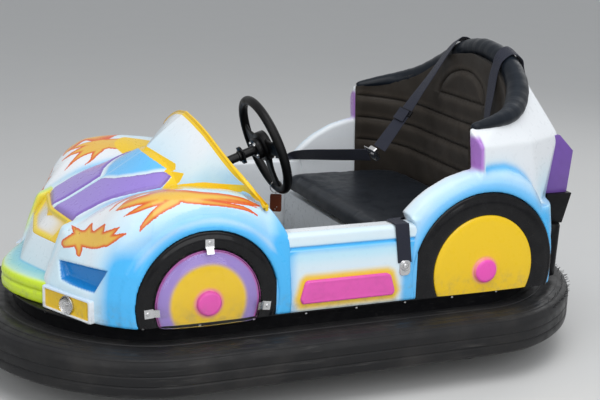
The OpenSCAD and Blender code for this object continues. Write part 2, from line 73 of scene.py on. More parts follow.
def smooth_step(value: Array, low: float, high: float) -> Array:
    """Rises smoothly from 0 at low to 1 at high.

    Args:
        value: Where to evaluate it.
        low: Value that gives 0.
        high: Value that gives 1.

    Returns:
        The share at each value.
    """
    t = np.clip((value - low) / (high - low), 0.0, 1.0)
    return t * t * (3.0 - 2.0 * t)


def round_max(a: Array, b: Array, radius: Array | float) -> Array:
    """Joins two distances as a shape's intersection with a rounded edge.

    Args:
        a: First signed distance.
        b: Second signed distance.
        radius: Radius of the edge, above 0.

    Returns:
        The joined signed distance.
    """
    u, v = np.maximum(a + radius, 0.0), np.maximum(b + radius, 0.0)
    return np.minimum(np.maximum(a, b), -radius) + np.sqrt(u * u + v * v)


def round_min(a: Array, b: Array, radius: Array | float) -> Array:
    """Joins two distances as a shape's union with a filleted corner."""
    return -round_max(-a, -b, radius)


def smooth_table(table: Points, column: int, sigma: float) -> Callable[[Array], Array]:
    """Makes a smooth function of a table's first column.

    Args:
        table: Rows that start with the place, in rising or falling order.
        column: Column with the value.
        sigma: Smoothing length in millimetres.

    Returns:
        A function that gives the value at any place.
    """
    step = 2.0
    rows = np.array(sorted(tuple(r) for r in table), float)
    x, y = rows[:, 0], rows[:, column]
    reach = 4.0 * sigma
    grid = np.arange(x[0] - reach, x[-1] + reach + step, step)
    values = np.interp(grid, x, y)
    values = np.where(grid < x[0], y[0] + (grid - x[0]) * (y[1] - y[0]) / (x[1] - x[0]), values)
    values = np.where(grid > x[-1], y[-1] + (grid - x[-1]) * (y[-1] - y[-2]) / (x[-1] - x[-2]), values)
    offsets = np.arange(-3.0 * sigma, 3.0 * sigma + step, step)
    kernel = np.exp(-0.5 * (offsets / sigma) ** 2)
    kernel /= kernel.sum()
    padded = np.pad(values, len(offsets) // 2, mode="reflect", reflect_type="odd")
    smooth = np.convolve(padded, kernel, mode="valid")[: len(grid)]
    return lambda q: np.interp(q, grid, smooth)


def filleted(points: Points, cut: float | Sequence[float], steps: int = 5) -> Array:
    """Rounds an open polyline's inner corners.

    Args:
        points: The polyline's corners, in the plane.
        cut: How far from each corner its rounding starts, one number or one for each corner.
        steps: Points along each rounding.

    Returns:
        The rounded polyline's points.
    """
    pts = np.array(points, float)
    cuts = np.full(len(pts), cut, float) if np.isscalar(cut) else np.array(cut, float)
    out = [pts[0]]
    for i in range(1, len(pts) - 1):
        before, after = pts[i - 1] - pts[i], pts[i + 1] - pts[i]
        lb, la = np.linalg.norm(before), np.linalg.norm(after)
        c = min(cuts[i], 0.48 * lb, 0.48 * la)
        if c < 0.5:
            out.append(pts[i])
            continue
        start, end = pts[i] + before / lb * c, pts[i] + after / la * c
        for t in np.linspace(0.0, 1.0, steps):
            out.append((1 - t) ** 2 * start + 2 * t * (1 - t) * pts[i] + t * t * end)
    out.append(pts[-1])
    return np.array(out)


def polygon_distance(x: Array, y: Array, polygon: Points) -> Array:
    """Signed distance to a closed polygon in the plane, negative inside.

    Args:
        x: First coordinates.
        y: Second coordinates.
        polygon: The corners in order.

    Returns:
        The distance at each point.
    """
    pts = np.array(polygon, float)
    x, y = np.broadcast_arrays(x, y)
    nearest = np.full(x.shape, 1e12)
    inside = np.zeros(x.shape, bool)
    for (ax, ay), (bx, by) in zip(pts, np.roll(pts, -1, axis=0)):
        ex, ey = bx - ax, by - ay
        wx, wy = x - ax, y - ay
        t = np.clip((wx * ex + wy * ey) / (ex * ex + ey * ey + 1e-12), 0.0, 1.0)
        nearest = np.minimum(nearest, (wx - t * ex) ** 2 + (wy - t * ey) ** 2)
        if ay != by:
            inside ^= ((ay > y) != (by > y)) & (wx < (y - ay) * ex / ey)
    return np.where(inside, -1.0, 1.0) * np.sqrt(nearest)


def strokes_distance(u: Array, v: Array, strokes: Sequence[Points]) -> Array:
    """Signed distance to tapered brush strokes, negative inside.

    Args:
        u: First coordinates on the painted surface.
        v: Second coordinates.
        strokes: Each stroke's rows of u, v and half width.

    Returns:
        The distance to the nearest stroke's edge.
    """
    nearest = np.full(u.shape, 1e6)
    for stroke in strokes:
        rows = spline(stroke, 5)
        for a, b in zip(rows[:-1], rows[1:]):
            eu, ev = b[0] - a[0], b[1] - a[1]
            wu, wv = u - a[0], v - a[1]
            t = np.clip((wu * eu + wv * ev) / (eu * eu + ev * ev + 1e-9), 0.0, 1.0)
            gap = np.hypot(wu - t * eu, wv - t * ev) - (a[2] + t * (b[2] - a[2]))
            nearest = np.minimum(nearest, gap)
    return nearest


def spline(rows: Points, steps: int) -> Array:
    """Runs a smooth curve through rows of numbers.

    Args:
        rows: The rows that the curve passes through.
        steps: Parts between two rows.

    Returns:
        The rows along the curve.
    """
    p = np.array(rows, float)
    if len(p) == 2:
        t = np.linspace(0.0, 1.0, steps + 1)[:, None]
        return p[0] * (1 - t) + p[1] * t
    q = np.vstack([2 * p[0] - p[1], p, 2 * p[-1] - p[-2]])
    out = []
    for i in range(1, len(q) - 2):
        for t in np.arange(steps) / steps:
            a, b, c, d = q[i - 1 : i + 3]
            out.append(
                0.5 * (2 * b + (c - a) * t + (2 * a - 5 * b + 4 * c - d) * t**2
                       + (3 * b - a - 3 * c + d) * t**3)
            )
    out.append(p[-1])
    return np.array(out)


def bell(value: Array | float, width: float) -> Array | float:
    """A hump of height 1 where the value is 0, which falls off over a width."""
    return np.exp(-((value / width) ** 2))


def unit(rows: Array) -> Array:
    """Scales each vector to a length of 1."""
    return rows / np.linalg.norm(rows, axis=-1, keepdims=True)


def travelled(points: Array) -> Array:
    """Length along a polyline from its start to each of its points."""
    return np.concatenate([[0], np.cumsum(np.linalg.norm(np.diff(points, axis=0), axis=1))])


def linked(name: str, data: bpy.types.ID) -> Piece:
    """Puts a mesh, a lamp or a camera into the scene as an object at the origin."""
    piece = bpy.data.objects.new(name, data)
    bpy.context.scene.collection.objects.link(piece)
    return piece


def new_mesh(name: str, points: Array, faces: Iterable[Sequence[int]]) -> Piece:
    """Makes a mesh object at the origin, shaded smooth.

    Args:
        name: The piece's name.
        points: Its points in metres.
        faces: Its faces as rows of point numbers.

    Returns:
        The new object, linked into the scene.
    """
    mesh = bpy.data.meshes.new(name)
    faces = faces.tolist() if isinstance(faces, np.ndarray) else [list(f) for f in faces]
    mesh.from_pydata(np.asarray(points, float).tolist(), [], faces)
    mesh.validate()
    mesh.polygons.foreach_set("use_smooth", [True] * len(mesh.polygons))
    mesh.update()
    return linked(name, mesh)


def built(name: str, bm: bmesh.types.BMesh) -> Piece:
    """Turns an edited mesh into a piece and frees it.

    Args:
        name: The new piece's name.
        bm: The edited mesh, which is freed.

    Returns:
        The piece.
    """
    mesh = bpy.data.meshes.new(name)
    bm.to_mesh(mesh)
    bm.free()
    return linked(name, mesh)


def faced_out(piece: Piece, merge: float = 0.0) -> Piece:
    """Turns a closed mesh's faces outwards, after points nearer than merge metres are joined.

    Args:
        piece: A piece whose mesh is closed.
        merge: Distance in metres below which points are joined.

    Returns:
        The piece.
    """
    bm = bmesh.new()
    bm.from_mesh(piece.data)
    if merge:
        bmesh.ops.remove_doubles(bm, verts=bm.verts, dist=merge)
    bmesh.ops.recalc_face_normals(bm, faces=bm.faces)
    bm.to_mesh(piece.data)
    bm.free()
    return piece


def places_of(piece: Piece) -> Array:
    """A mesh's points in millimetres, one row each."""
    co = np.empty(len(piece.data.vertices) * 3)
    piece.data.vertices.foreach_get("co", co)
    return co.reshape(-1, 3) / MM


def placed(rows: Points, turn: Matrix) -> Array:
    """Moves rows of points by a matrix."""
    m = np.array(turn)
    return np.asarray(rows, float) @ m[:3, :3].T + m[:3, 3]


def moved(piece: Piece, turn: Matrix) -> Piece:
    """Moves a piece's mesh by a matrix in millimetres."""
    piece.data.vertices.foreach_set("co", (placed(places_of(piece), turn) * MM).ravel())
    return piece


def store(piece: Piece, name: str, values: Array) -> None:
    """Keeps one number for each point as an attribute that a finish can read."""
    attribute = piece.data.attributes.new(name, "FLOAT", "POINT")
    attribute.data.foreach_set("value", np.asarray(values, np.float32))


def apply_modifiers(piece: Piece) -> None:
    """Turns a piece's modifiers into plain mesh and removes them.

    Args:
        piece: The piece.
    """
    graph = bpy.context.evaluated_depsgraph_get()
    graph.update()
    mesh = bpy.data.meshes.new_from_object(piece.evaluated_get(graph), depsgraph=graph)
    piece.modifiers.clear()
    old, piece.data = piece.data, mesh
    bpy.data.meshes.remove(old)


def shade_by_angle(piece: Piece, degrees: float = 35.0) -> None:
    """Shades a mesh smooth with sharp edges above an angle."""
    mesh = piece.data
    mesh.polygons.foreach_set("use_smooth", [True] * len(mesh.polygons))
    mesh.set_sharp_from_angle(angle=radians(degrees))


def round_edges(piece: Piece, width: float, segments: int, degrees: float, shade: float) -> Piece:
    """Rounds a piece's sharp edges and shades it.

    Args:
        piece: The piece.
        width: Width of the rounding in millimetres.
        segments: Faces across the rounding.
        degrees: Smallest angle that is rounded.
        shade: Smallest angle, in degrees, that is still shaded as an edge.

    Returns:
        The piece.
    """
    edge = piece.modifiers.new("edge", "BEVEL")
    edge.width, edge.segments = width * MM, segments
    edge.limit_method, edge.angle_limit = "ANGLE", radians(degrees)
    apply_modifiers(piece)
    shade_by_angle(piece, shade)
    return piece


def bevelled(node: str, name: str, width: float, segments: int = 3) -> Piece:
    """Copies a solid's mesh, joins its flat faces and rounds its edges.

    Args:
        node: The solid's name.
        name: The new piece's name.
        width: Width of the rounding in millimetres.
        segments: Faces across the rounding.

    Returns:
        The new piece, which replaces the solid.
    """
    bm = bmesh.new()
    bm.from_mesh(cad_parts[node].data)
    bmesh.ops.remove_doubles(bm, verts=bm.verts, dist=1e-5)
    bmesh.ops.dissolve_limit(bm, angle_limit=radians(1.5), verts=bm.verts, edges=bm.edges)
    piece = round_edges(built(name, bm), width, segments, 28.0, 40.0)
    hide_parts(node)
    return piece


def publish(piece: Piece, body: Body, finish: Finish, node: str = "") -> Piece:
    """Gives a piece its finish, its body and the solid that it replaces.

    Args:
        piece: The piece.
        body: The body that it rides on.
        finish: Its material.
        node: The solid that it replaces, where it replaces one.

    Returns:
        The piece.
    """
    if node:
        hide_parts(node)
    piece.data.materials.clear()
    piece.data.materials.append(finish)
    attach(piece, body.value)
    LOG.info("%s: %d faces on %s", piece.name, len(piece.data.polygons), body.value)
    return piece


@dataclass
class SurfaceNet:
    """Meshes a signed distance that is the same on both sides of the car.

    Attributes:
        low: Lowest x and z, in millimetres.
        high: Highest x, y and z.
        pitch: Spacing of the samples.
    """

    low: tuple[float, float]
    high: tuple[float, float, float]
    pitch: float = 5.0

    def axes(self) -> tuple[Array, Array, Array]:
        """The x, y and z of the samples, on the car's left half.

        Returns:
            The samples along x, y and z.
        """
        p = self.pitch
        x = np.arange(self.low[0] - 2 * p, self.high[0] + 2.5 * p, p)
        y = np.arange(0.0, self.high[1] + 2.5 * p, p)
        z = np.arange(self.low[1] - 2 * p, self.high[2] + 2.5 * p, p)
        return x[:, None, None], y[None, :, None], z[None, None, :]

    def mesh(self, name: str, values: Array) -> Piece:
        """Builds the surface where the distance is zero.

        Args:
            name: The piece's name.
            values: The distance at each sample of the left half.

        Returns:
            The new object.
        """
        f = np.concatenate([values[:, :0:-1], values], axis=1)
        size = np.array(f.shape) - 1
        cells = int(size.prod())
        inside = f < 0
        edges = []
        total, count = np.zeros((cells, 3)), np.zeros(cells)
        for axis in range(3):
            a, b = [slice(None)] * 3, [slice(None)] * 3
            a[axis], b[axis] = slice(0, -1), slice(1, None)
            near, far = f[tuple(a)], f[tuple(b)]
            crossing = inside[tuple(a)] != inside[tuple(b)]
            cell = np.stack(np.nonzero(crossing), axis=1)
            t = near[crossing] / (near[crossing] - far[crossing])
            place = cell.astype(float)
            place[:, axis] += t
            u, v = (axis + 1) % 3, (axis + 2) % 3
            ring = []
            for du, dv in ((1, 1), (0, 1), (0, 0), (1, 0)):
                c = cell.copy()
                c[:, u] -= du
                c[:, v] -= dv
                flat = np.ravel_multi_index(c.T, size, mode="clip")
                ring.append(flat)
                count += np.bincount(flat, minlength=cells)
                for k in range(3):
                    total[:, k] += np.bincount(flat, weights=place[:, k], minlength=cells)
            ring = np.stack(ring, axis=1)
            outward = inside[tuple(a)][crossing]
            edges.append(np.where(outward[:, None], ring, ring[:, ::-1]))
        used = np.nonzero(count)[0]
        number = np.full(cells, -1)
        number[used] = np.arange(len(used))
        points = self._settle(f, total[used] / count[used, None]) * self.pitch
        points += np.array([self.low[0] - 2 * self.pitch, 0.0, self.low[1] - 2 * self.pitch])
        points[:, 1] -= (values.shape[1] - 1) * self.pitch
        return new_mesh(name, points * MM, number[np.concatenate(edges)])

    @staticmethod
    def _settle(f: Array, points: Array) -> Array:
        """Moves points in cells of the samples onto the zero surface, by a third of a cell at most.

        Args:
            f: Distances at the samples.
            points: Points in cells of the samples.

        Returns:
            The points on the surface.
        """
        top = np.array(f.shape) - 1.001

        def sample(p: Array) -> Array:
            """Reads the distance between its samples.

            Args:
                p: The points.

            Returns:
                The distances there.
            """
            p = np.clip(p, 0.0, top)
            i = p.astype(int)
            t = p - i
            out = np.zeros(len(p))
            for corner in range(8):
                c = np.array([corner & 1, corner >> 1 & 1, corner >> 2])
                weight = np.prod(np.where(c, t, 1.0 - t), axis=1)
                out += weight * f[tuple((i + c).T)]
            return out

        start = points.copy()
        for _ in range(3):
            slope = np.stack([sample(points + e) - sample(points - e) for e in 0.5 * np.eye(3)], axis=1)
            move = -sample(points)[:, None] * slope / np.maximum((slope**2).sum(1), 1e-6)[:, None]
            points = start + np.clip(points + 0.6 * move - start, -0.32, 0.32)
        return points


def contour_stack(x: Array, y: Array, z: Array, levels: Sequence, close_x: float,
                  cuts: Sequence[float]) -> Array:
    """Distance to a plan outline that changes with height.

    Args:
        x: Sample places along the car.
        y: Sample places across it.
        z: Sample heights.
        levels: Rows of height and half outline, from the open end to the middle plane.
        close_x: Where the open end is closed.
        cuts: Rounding of each corner.

    Returns:
        The distance at each sample.
    """
    heights = np.array([row[0] for row in levels])
    tables = np.array([row[1] for row in levels], float)
    out = np.empty((x.size, y.size, z.size))
    for k, height in enumerate(z.ravel()):
        share = np.interp(height, heights, np.arange(len(heights)))
        i = min(int(share), len(heights) - 2)
        half = tables[i] * (1 - share + i) + tables[i + 1] * (share - i)
        half = filleted(np.vstack([[close_x, half[0][1]], half]), [0, *cuts])
        whole = np.vstack([half, (half * [1, -1])[::-1]])
        out[:, :, k] = polygon_distance(x[:, :, 0], y[:, :, 0], whole)
    return out


def hull_distance(x: Array, y: Array, z: Array, points: Points) -> Array:
    """Distance to the convex hull of points and their mirror images, with softened edges.

    Args:
        x: Sample places along the car.
        y: Sample places across it.
        z: Sample heights.
        points: The points on the left half.

    Returns:
        The distance at each sample.
    """
    power, radius = 10.0, 9.0  # How crisp the edges are, and how deep their softening goes.
    bm = bmesh.new()
    for px, py, pz in points:
        bm.verts.new((px, py, pz))
        if py > 0:
            bm.verts.new((px, -py, pz))
    hull = bmesh.ops.convex_hull(bm, input=bm.verts)["geom"]
    middle = np.mean([v.co for v in bm.verts], axis=0)
    planes = set()
    for face in (g for g in hull if isinstance(g, bmesh.types.BMFace)):
        normal, at = np.array(face.normal), np.array(face.verts[0].co)
        if np.dot(middle - at, normal) > 0:
            normal = -normal
        planes.add(tuple(np.round([*normal, np.dot(normal, at)], 4)))
    bm.free()
    total, deepest = 0.0, -1e9
    for nx, ny, nz, offset in sorted(planes):
        d = nx * x + ny * y + nz * z - offset
        deepest = np.maximum(deepest, d)
        total = total + np.maximum(d + radius, 0.0) ** power
    return np.where(deepest > -radius, total ** (1.0 / power) - radius, deepest)


class Recipe:
    """Builds one node material from short calls."""

    def __init__(self, name: str, colour: Sequence[float] = (0.8, 0.8, 0.8), **sockets: float) -> None:
        """Starts a material with one principled shader.

        Args:
            name: The material's name.
            colour: Its base colour.
            sockets: Values for the shader's own sockets, with _ for a space.
        """
        self.material = bpy.data.materials.new(name)
        self.material.use_nodes = True
        self.tree = self.material.node_tree
        self.tree.nodes.clear()
        self.shader = self.node("ShaderNodeBsdfPrincipled")
        out = self.node("ShaderNodeOutputMaterial")
        self.tree.links.new(self.shader.outputs[0], out.inputs[0])
        self.shader.inputs["Base Color"].default_value = (*colour, 1.0)
        for key, value in sockets.items():
            self.shader.inputs[key.replace("_", " ")].default_value = value
        self.place = self.node("ShaderNodeTexCoord").outputs["Object"]

    def node(self, kind: str) -> bpy.types.Node:
        """Adds a node of a kind."""
        return self.tree.nodes.new(kind)

    def feed(self, socket: Socket, value: object) -> None:
        """Sets a socket to a number, a colour or another node's output.

        Args:
            socket: The socket.
            value: The number, the colour or the output.
        """
        if isinstance(value, Socket):
            self.tree.links.new(value, socket)
        elif isinstance(value, (tuple, list)) and socket.type == "RGBA":
            socket.default_value = (*value[:3], 1.0)
        else:
            socket.default_value = value

    def math(self, operation: str, a: object, b: object = 0.0, clamp: bool = False) -> Socket:
        """Puts two numbers through an arithmetic node.

        Args:
            operation: The arithmetic.
            a: The first number.
            b: The second number.
            clamp: Whether the result stays between 0 and 1.

        Returns:
            The result.
        """
        node = self.node("ShaderNodeMath")
        node.operation, node.use_clamp = operation, clamp
        self.feed(node.inputs[0], a)
        self.feed(node.inputs[1], b)
        return node.outputs[0]

    def mix(self, share: object, low: object, high: object) -> Socket:
        """Mixes two colours by a share.

        Args:
            share: Share of the second colour.
            low: The colour at 0.
            high: The colour at 1.

        Returns:
            The colour.
        """
        node = self.node("ShaderNodeMix")
        node.data_type = "RGBA"
        for socket, value in ((0, share), (6, low), (7, high)):
            self.feed(node.inputs[socket], value)
        return node.outputs[2]

    def span(self, value: object, low: float, high: float, to: tuple[float, float] = (0.0, 1.0)) -> Socket:
        """Maps a range smoothly onto another.

        Args:
            value: The value.
            low: Where the range starts.
            high: Where it ends.
            to: The range that it becomes.

        Returns:
            The value in its new range.
        """
        node = self.node("ShaderNodeMapRange")
        node.interpolation_type = "SMOOTHSTEP"
        for socket, number in zip(node.inputs, (value, low, high, *to)):
            self.feed(socket, number)
        return node.outputs[0]

    def noise(self, scale: float, detail: float = 3.0, rough: float = 0.5, at: object = None) -> Socket:
        """Adds noise in the object's own coordinates.

        Args:
            scale: How fine it is.
            detail: How many finer layers it has.
            rough: How strong they are.
            at: The coordinates, if not the object's own.

        Returns:
            The noise.
        """
        node = self.node("ShaderNodeTexNoise")
        for name, value in (("Vector", at or self.place), ("Scale", scale), ("Detail", detail),
                            ("Roughness", rough)):
            self.feed(node.inputs[name], value)
        return node.outputs["Fac"]

    def cells(self, scale: float) -> Socket:
        """Adds a cell pattern in the object's own coordinates.

        Args:
            scale: How fine it is.

        Returns:
            The pattern.
        """
        node = self.node("ShaderNodeTexVoronoi")
        self.feed(node.inputs["Vector"], self.place)
        node.inputs["Scale"].default_value = scale
        return node.outputs["Distance"]

    def stretched(self, x: float, y: float, z: float) -> Socket:
        """Scales the object's coordinates, for grain with a direction.

        Args:
            x: Scale along x.
            y: Scale along y.
            z: Scale along z.

        Returns:
            The stretched coordinates.
        """
        node = self.node("ShaderNodeMapping")
        self.feed(node.inputs["Vector"], self.place)
        node.inputs["Scale"].default_value = (x, y, z)
        return node.outputs[0]

    def attribute(self, name: str) -> Socket:
        """Reads a number kept on the mesh's points."""
        node = self.node("ShaderNodeAttribute")
        node.attribute_name = name
        return node.outputs["Fac"]

    def split(self, place: Socket) -> bpy.types.NodeOutputs:
        """Splits a place into its coordinates."""
        node = self.node("ShaderNodeSeparateXYZ")
        self.feed(node.inputs[0], place)
        return node.outputs

    def bump(self, height: object, strength: float, distance: float) -> None:
        """Turns a height into the shader's bumped normal.

        Args:
            height: The height.
            strength: How strongly it shows.
            distance: Its depth in metres.
        """
        node = self.node("ShaderNodeBump")
        for name, value in (("Strength", strength), ("Distance", distance), ("Height", height)):
            self.feed(node.inputs[name], value)
        self.set("Normal", node.outputs[0])

    def set(self, name: str, value: object) -> None:
        """Feeds one of the shader's sockets."""
        self.feed(self.shader.inputs[name], value)


WHITE = (0.80, 0.83, 0.86)
SKY = (0.07, 0.47, 0.90)
PALE = (0.42, 0.76, 0.92)
LAVENDER = (0.30, 0.21, 0.62)
PLUM = (0.20, 0.12, 0.42)
YELLOW = (0.84, 0.55, 0.012)
GOLD = (0.78, 0.42, 0.05)
EMBER = (0.66, 0.09, 0.02)
LIME = (0.62, 0.82, 0.03)
PINK = (0.82, 0.085, 0.46)
DEEP = (0.012, 0.22, 0.58)


@dataclass(frozen=True)
class Gelcoat:
    """Airbrushed fibreglass under clear lacquer. Each tint is an attribute from 0 to 1 on the mesh."""

    name: str = "painted_fibreglass"
    base: Sequence[float] = WHITE

    def make(self) -> Finish:
        """Builds the material.

        Returns:
            The material.
        """
        r = Recipe(self.name, self.base, Roughness=0.34, Coat_Weight=0.4, Coat_Roughness=0.06,
                   Specular_IOR_Level=0.2)
        mist = r.math("MULTIPLY", r.math("SUBTRACT", r.noise(700.0, 1.0), 0.5), 0.22)
        cloud = r.math("MULTIPLY", r.math("SUBTRACT", r.noise(9.0, 2.0), 0.5), 0.25)
        spray = r.math("ADD", mist, cloud)
        colour = r.mix(r.math("MULTIPLY", r.noise(14.0, 3.0), 0.12), self.base, (0.62, 0.68, 0.72))
        for tint, paint in (("pale", PALE), ("sky", SKY), ("sun", YELLOW), ("lime", LIME),
                            ("violet", LAVENDER), ("rose", PINK), ("deep", DEEP)):
            amount = r.attribute(tint)
            edge = r.math("MULTIPLY", spray, r.math("MULTIPLY", amount, r.math("SUBTRACT", 1.0, amount)))
            share = r.math("ADD", amount, r.math("MULTIPLY", edge, 4.0), clamp=True)
            colour = r.mix(share, colour, paint)
        panel = r.attribute("panel")
        colour = r.mix(r.span(panel, 0.0003, 0.0018), colour,
                       r.mix(r.span(panel, 0.001, 0.016), PLUM, LAVENDER))
        flame = r.attribute("lick")
        ragged = r.math("ADD", flame, r.math("MULTIPLY", spray, 0.002))
        heart = r.mix(r.noise(18.0, 2.0), (0.72, 0.50, 0.10), GOLD)
        fire = r.mix(r.span(ragged, 0.001, 0.012), EMBER, heart)
        colour = r.mix(r.span(flame, 0.0002, 0.0014), colour, fire)
        colour = r.mix(r.span(r.attribute("band"), 0.0002, 0.0012), colour, YELLOW)
        low = r.math("SUBTRACT", 1.0, r.span(r.split(r.place)[2], 0.262, 0.34))
        dust = r.math("MULTIPLY", low, r.span(r.noise(38.0, 4.0, 0.7), 0.42, 0.75))
        colour = r.mix(r.math("MULTIPLY", dust, 0.35), colour, (0.20, 0.19, 0.18))
        r.set("Base Color", colour)
        r.set("Roughness", r.span(r.noise(60.0, 4.0), 0.3, 0.8, (0.26, 0.42)))
        orange_peel = r.math("ADD", r.math("MULTIPLY", r.noise(140.0, 1.0), 0.6), r.noise(24.0, 1.0))
        r.bump(orange_peel, 0.03, 0.0012)
        return r.material


@dataclass(frozen=True)
class Vinyl:
    """Soft black upholstery vinyl with a leather grain, faint dust, and lighter places from an attribute:
    painted sheen and wear.
    """

    name: str = "black_vinyl"
    colour: Sequence[float] = (0.012, 0.012, 0.013)
    roughness: tuple[float, float] = (0.34, 0.52)

    def make(self) -> Finish:
        """Builds the material.

        Returns:
            The material.
        """
        r = Recipe(self.name, self.colour, Roughness=0.42, Sheen_Weight=0.03, Sheen_Roughness=0.4,
                   Specular_IOR_Level=0.2)
        grain = r.cells(520.0)
        fine = r.noise(900.0, 2.0)
        creases = r.noise(22.0, 4.0, 0.6)
        dust = r.span(r.noise(7.0, 4.0, 0.6), 0.5, 0.8)
        colour = r.mix(r.math("MULTIPLY", dust, 0.3), self.colour, tuple(2.4 * c for c in self.colour))
        # Lighter where the mesh's attribute says: painted sheen on the seat's puffs and roll top, and wear.
        sheen_and_wear = r.attribute("sheen_and_wear")
        colour = r.mix(r.math("MULTIPLY", sheen_and_wear, r.span(fine, 0.35, 0.7)), colour,
                       tuple(5.0 * c for c in self.colour))
        r.set("Base Color", colour)
        r.set("Roughness", r.span(r.noise(30.0, 4.0), 0.3, 0.75, self.roughness))
        height = r.math("ADD", r.math("MULTIPLY", grain, 0.5),
                        r.math("ADD", r.math("MULTIPLY", fine, 0.25), r.math("MULTIPLY", creases, 1.6)))
        r.bump(height, 0.16, 0.0010)
        return r.material


@dataclass(frozen=True)
class Rubber:
    """Black rubber with a moulding bloom, scuffs and dust in its low places."""

    name: str = "ring_rubber"
    colour: Sequence[float] = (0.016, 0.016, 0.017)
    roughness: tuple[float, float] = (0.3, 0.55)
    dust: float = 0.4
    scuffs: float = 0.5

    def make(self) -> Finish:
        """Builds the material.

        Returns:
            The material.
        """
        r = Recipe(self.name, self.colour, Roughness=0.4, Specular_IOR_Level=0.16)
        streaks = r.noise(1.0, 5.0, 0.65, at=r.stretched(6.0, 6.0, 90.0))
        blotch = r.noise(5.0, 5.0, 0.62)
        grey = r.math("MULTIPLY", r.span(blotch, 0.45, 0.8), self.dust)
        colour = r.mix(grey, self.colour, (0.060, 0.056, 0.052))
        marks = r.math("MULTIPLY", r.span(streaks, 0.58, 0.74), self.scuffs)
        colour = r.mix(marks, colour, (0.075, 0.073, 0.070))
        r.set("Base Color", colour)
        r.set("Roughness", r.span(r.noise(26.0, 5.0, 0.6), 0.3, 0.75, self.roughness))
        height = r.math("ADD", r.math("MULTIPLY", streaks, 0.8), r.noise(160.0, 3.0))
        r.bump(height, 0.18, 0.002)
        return r.material


@dataclass(frozen=True)
class Gloss:
    """Moulded or enamelled gloss in one colour, with faint orange peel and fine scratches."""

    name: str
    colour: Sequence[float]
    roughness: float = 0.2
    coat: float = 0.4
    fleck: float = 0.06

    def make(self) -> Finish:
        """Builds the material.

        Returns:
            The material.
        """
        r = Recipe(self.name, self.colour, Roughness=self.roughness, Coat_Weight=self.coat,
                   Coat_Roughness=0.06, Specular_IOR_Level=0.12)
        dull = tuple(0.9 * c + 0.004 for c in self.colour)
        colour = r.mix(r.span(r.noise(30.0, 4.0, 0.6), 0.4, 0.75), self.colour, dull)
        scratch = r.noise(1.0, 3.0, 0.6, at=r.stretched(30.0, 30.0, 700.0))
        colour = r.mix(r.math("MULTIPLY", r.span(scratch, 0.66, 0.74), self.fleck), colour, (0.6, 0.6, 0.6))
        r.set("Base Color", colour)
        r.set("Roughness", r.span(r.noise(50.0, 3.0), 0.3, 0.75, (self.roughness, self.roughness + 0.14)))
        r.bump(r.math("ADD", r.noise(150.0, 1.0), r.math("MULTIPLY", scratch, 0.3)), 0.04, 0.0012)
        return r.material


@dataclass(frozen=True)
class Metal:
    """Bare or plated metal with brushed streaks and a little rust in its hollows."""

    name: str
    colour: Sequence[float] = (0.62, 0.62, 0.63)
    roughness: float = 0.28
    rust: float = 0.0

    def make(self) -> Finish:
        """Builds the material.

        Returns:
            The material.
        """
        r = Recipe(self.name, self.colour, Roughness=self.roughness, Metallic=1.0)
        grain = r.noise(1.0, 4.0, 0.6, at=r.stretched(260.0, 40.0, 260.0))
        colour = r.mix(r.math("MULTIPLY", grain, 0.35), self.colour, tuple(0.6 * c for c in self.colour))
        stain = r.math("MULTIPLY", r.span(r.noise(45.0, 5.0, 0.7), 0.5, 0.72), self.rust)
        r.set("Base Color", r.mix(stain, colour, (0.16, 0.06, 0.025)))
        r.set("Metallic", r.math("SUBTRACT", 1.0, r.math("MULTIPLY", stain, 0.8), clamp=True))
        r.set("Roughness", r.span(r.math("ADD", grain, stain), 0.3, 1.1,
                                  (self.roughness, self.roughness + 0.35)))
        r.bump(grain, 0.08, 0.0008)
        return r.material


@dataclass(frozen=True)
class Webbing:
    """Woven nylon belt. Its ribs follow the mesh's own UV map, in metres along and across the strap."""

    name: str = "belt_webbing"
    colour: Sequence[float] = (0.014, 0.017, 0.030)

    def make(self) -> Finish:
        """Builds the material.

        Returns:
            The material.
        """
        r = Recipe(self.name, self.colour, Roughness=0.62, Sheen_Weight=0.06, Sheen_Roughness=0.5,
                   Specular_IOR_Level=0.25)
        along, across, _ = r.split(r.node("ShaderNodeUVMap").outputs[0])
        rib = r.math("SINE", r.math("MULTIPLY", across, 2.0 * pi / 0.0022))
        slant = r.math("ADD", r.math("MULTIPLY", along, 2.0 * pi / 0.0016),
                       r.math("MULTIPLY", across, 2.0 * pi / 0.004))
        weft = r.math("SINE", slant)
        weave = r.math("MULTIPLY", r.math("ADD", rib, 1.0), r.math("ADD", weft, 1.4))
        colour = r.mix(r.span(weave, 0.2, 4.2), self.colour, (0.018, 0.019, 0.034))
        fuzz = r.span(r.noise(16.0, 4.0, 0.6), 0.45, 0.8)
        r.set("Base Color", r.mix(r.math("MULTIPLY", fuzz, 0.2), colour, (0.03, 0.03, 0.04)))
        r.bump(weave, 0.35, 0.0006)
        return r.material


@dataclass(frozen=True)
class Clear:
    """Clear moulded plastic with fine scratches."""

    name: str = "clear_plastic"
    tint: Sequence[float] = (1.0, 1.0, 1.0)

    def make(self) -> Finish:
        """Builds the material.

        Returns:
            The material.
        """
        r = Recipe(self.name, self.tint, Roughness=0.03, Transmission_Weight=1.0, IOR=1.1, Coat_Weight=0.25,
                   Coat_Roughness=0.02)
        haze = r.span(r.noise(1.0, 4.0, 0.6, at=r.stretched(90.0, 90.0, 260.0)), 0.5, 0.8)
        r.set("Roughness", r.math("ADD", r.math("MULTIPLY", haze, 0.05), 0.01))
        r.bump(r.noise(12.0, 2.0), 0.03, 0.003)
        return r.material


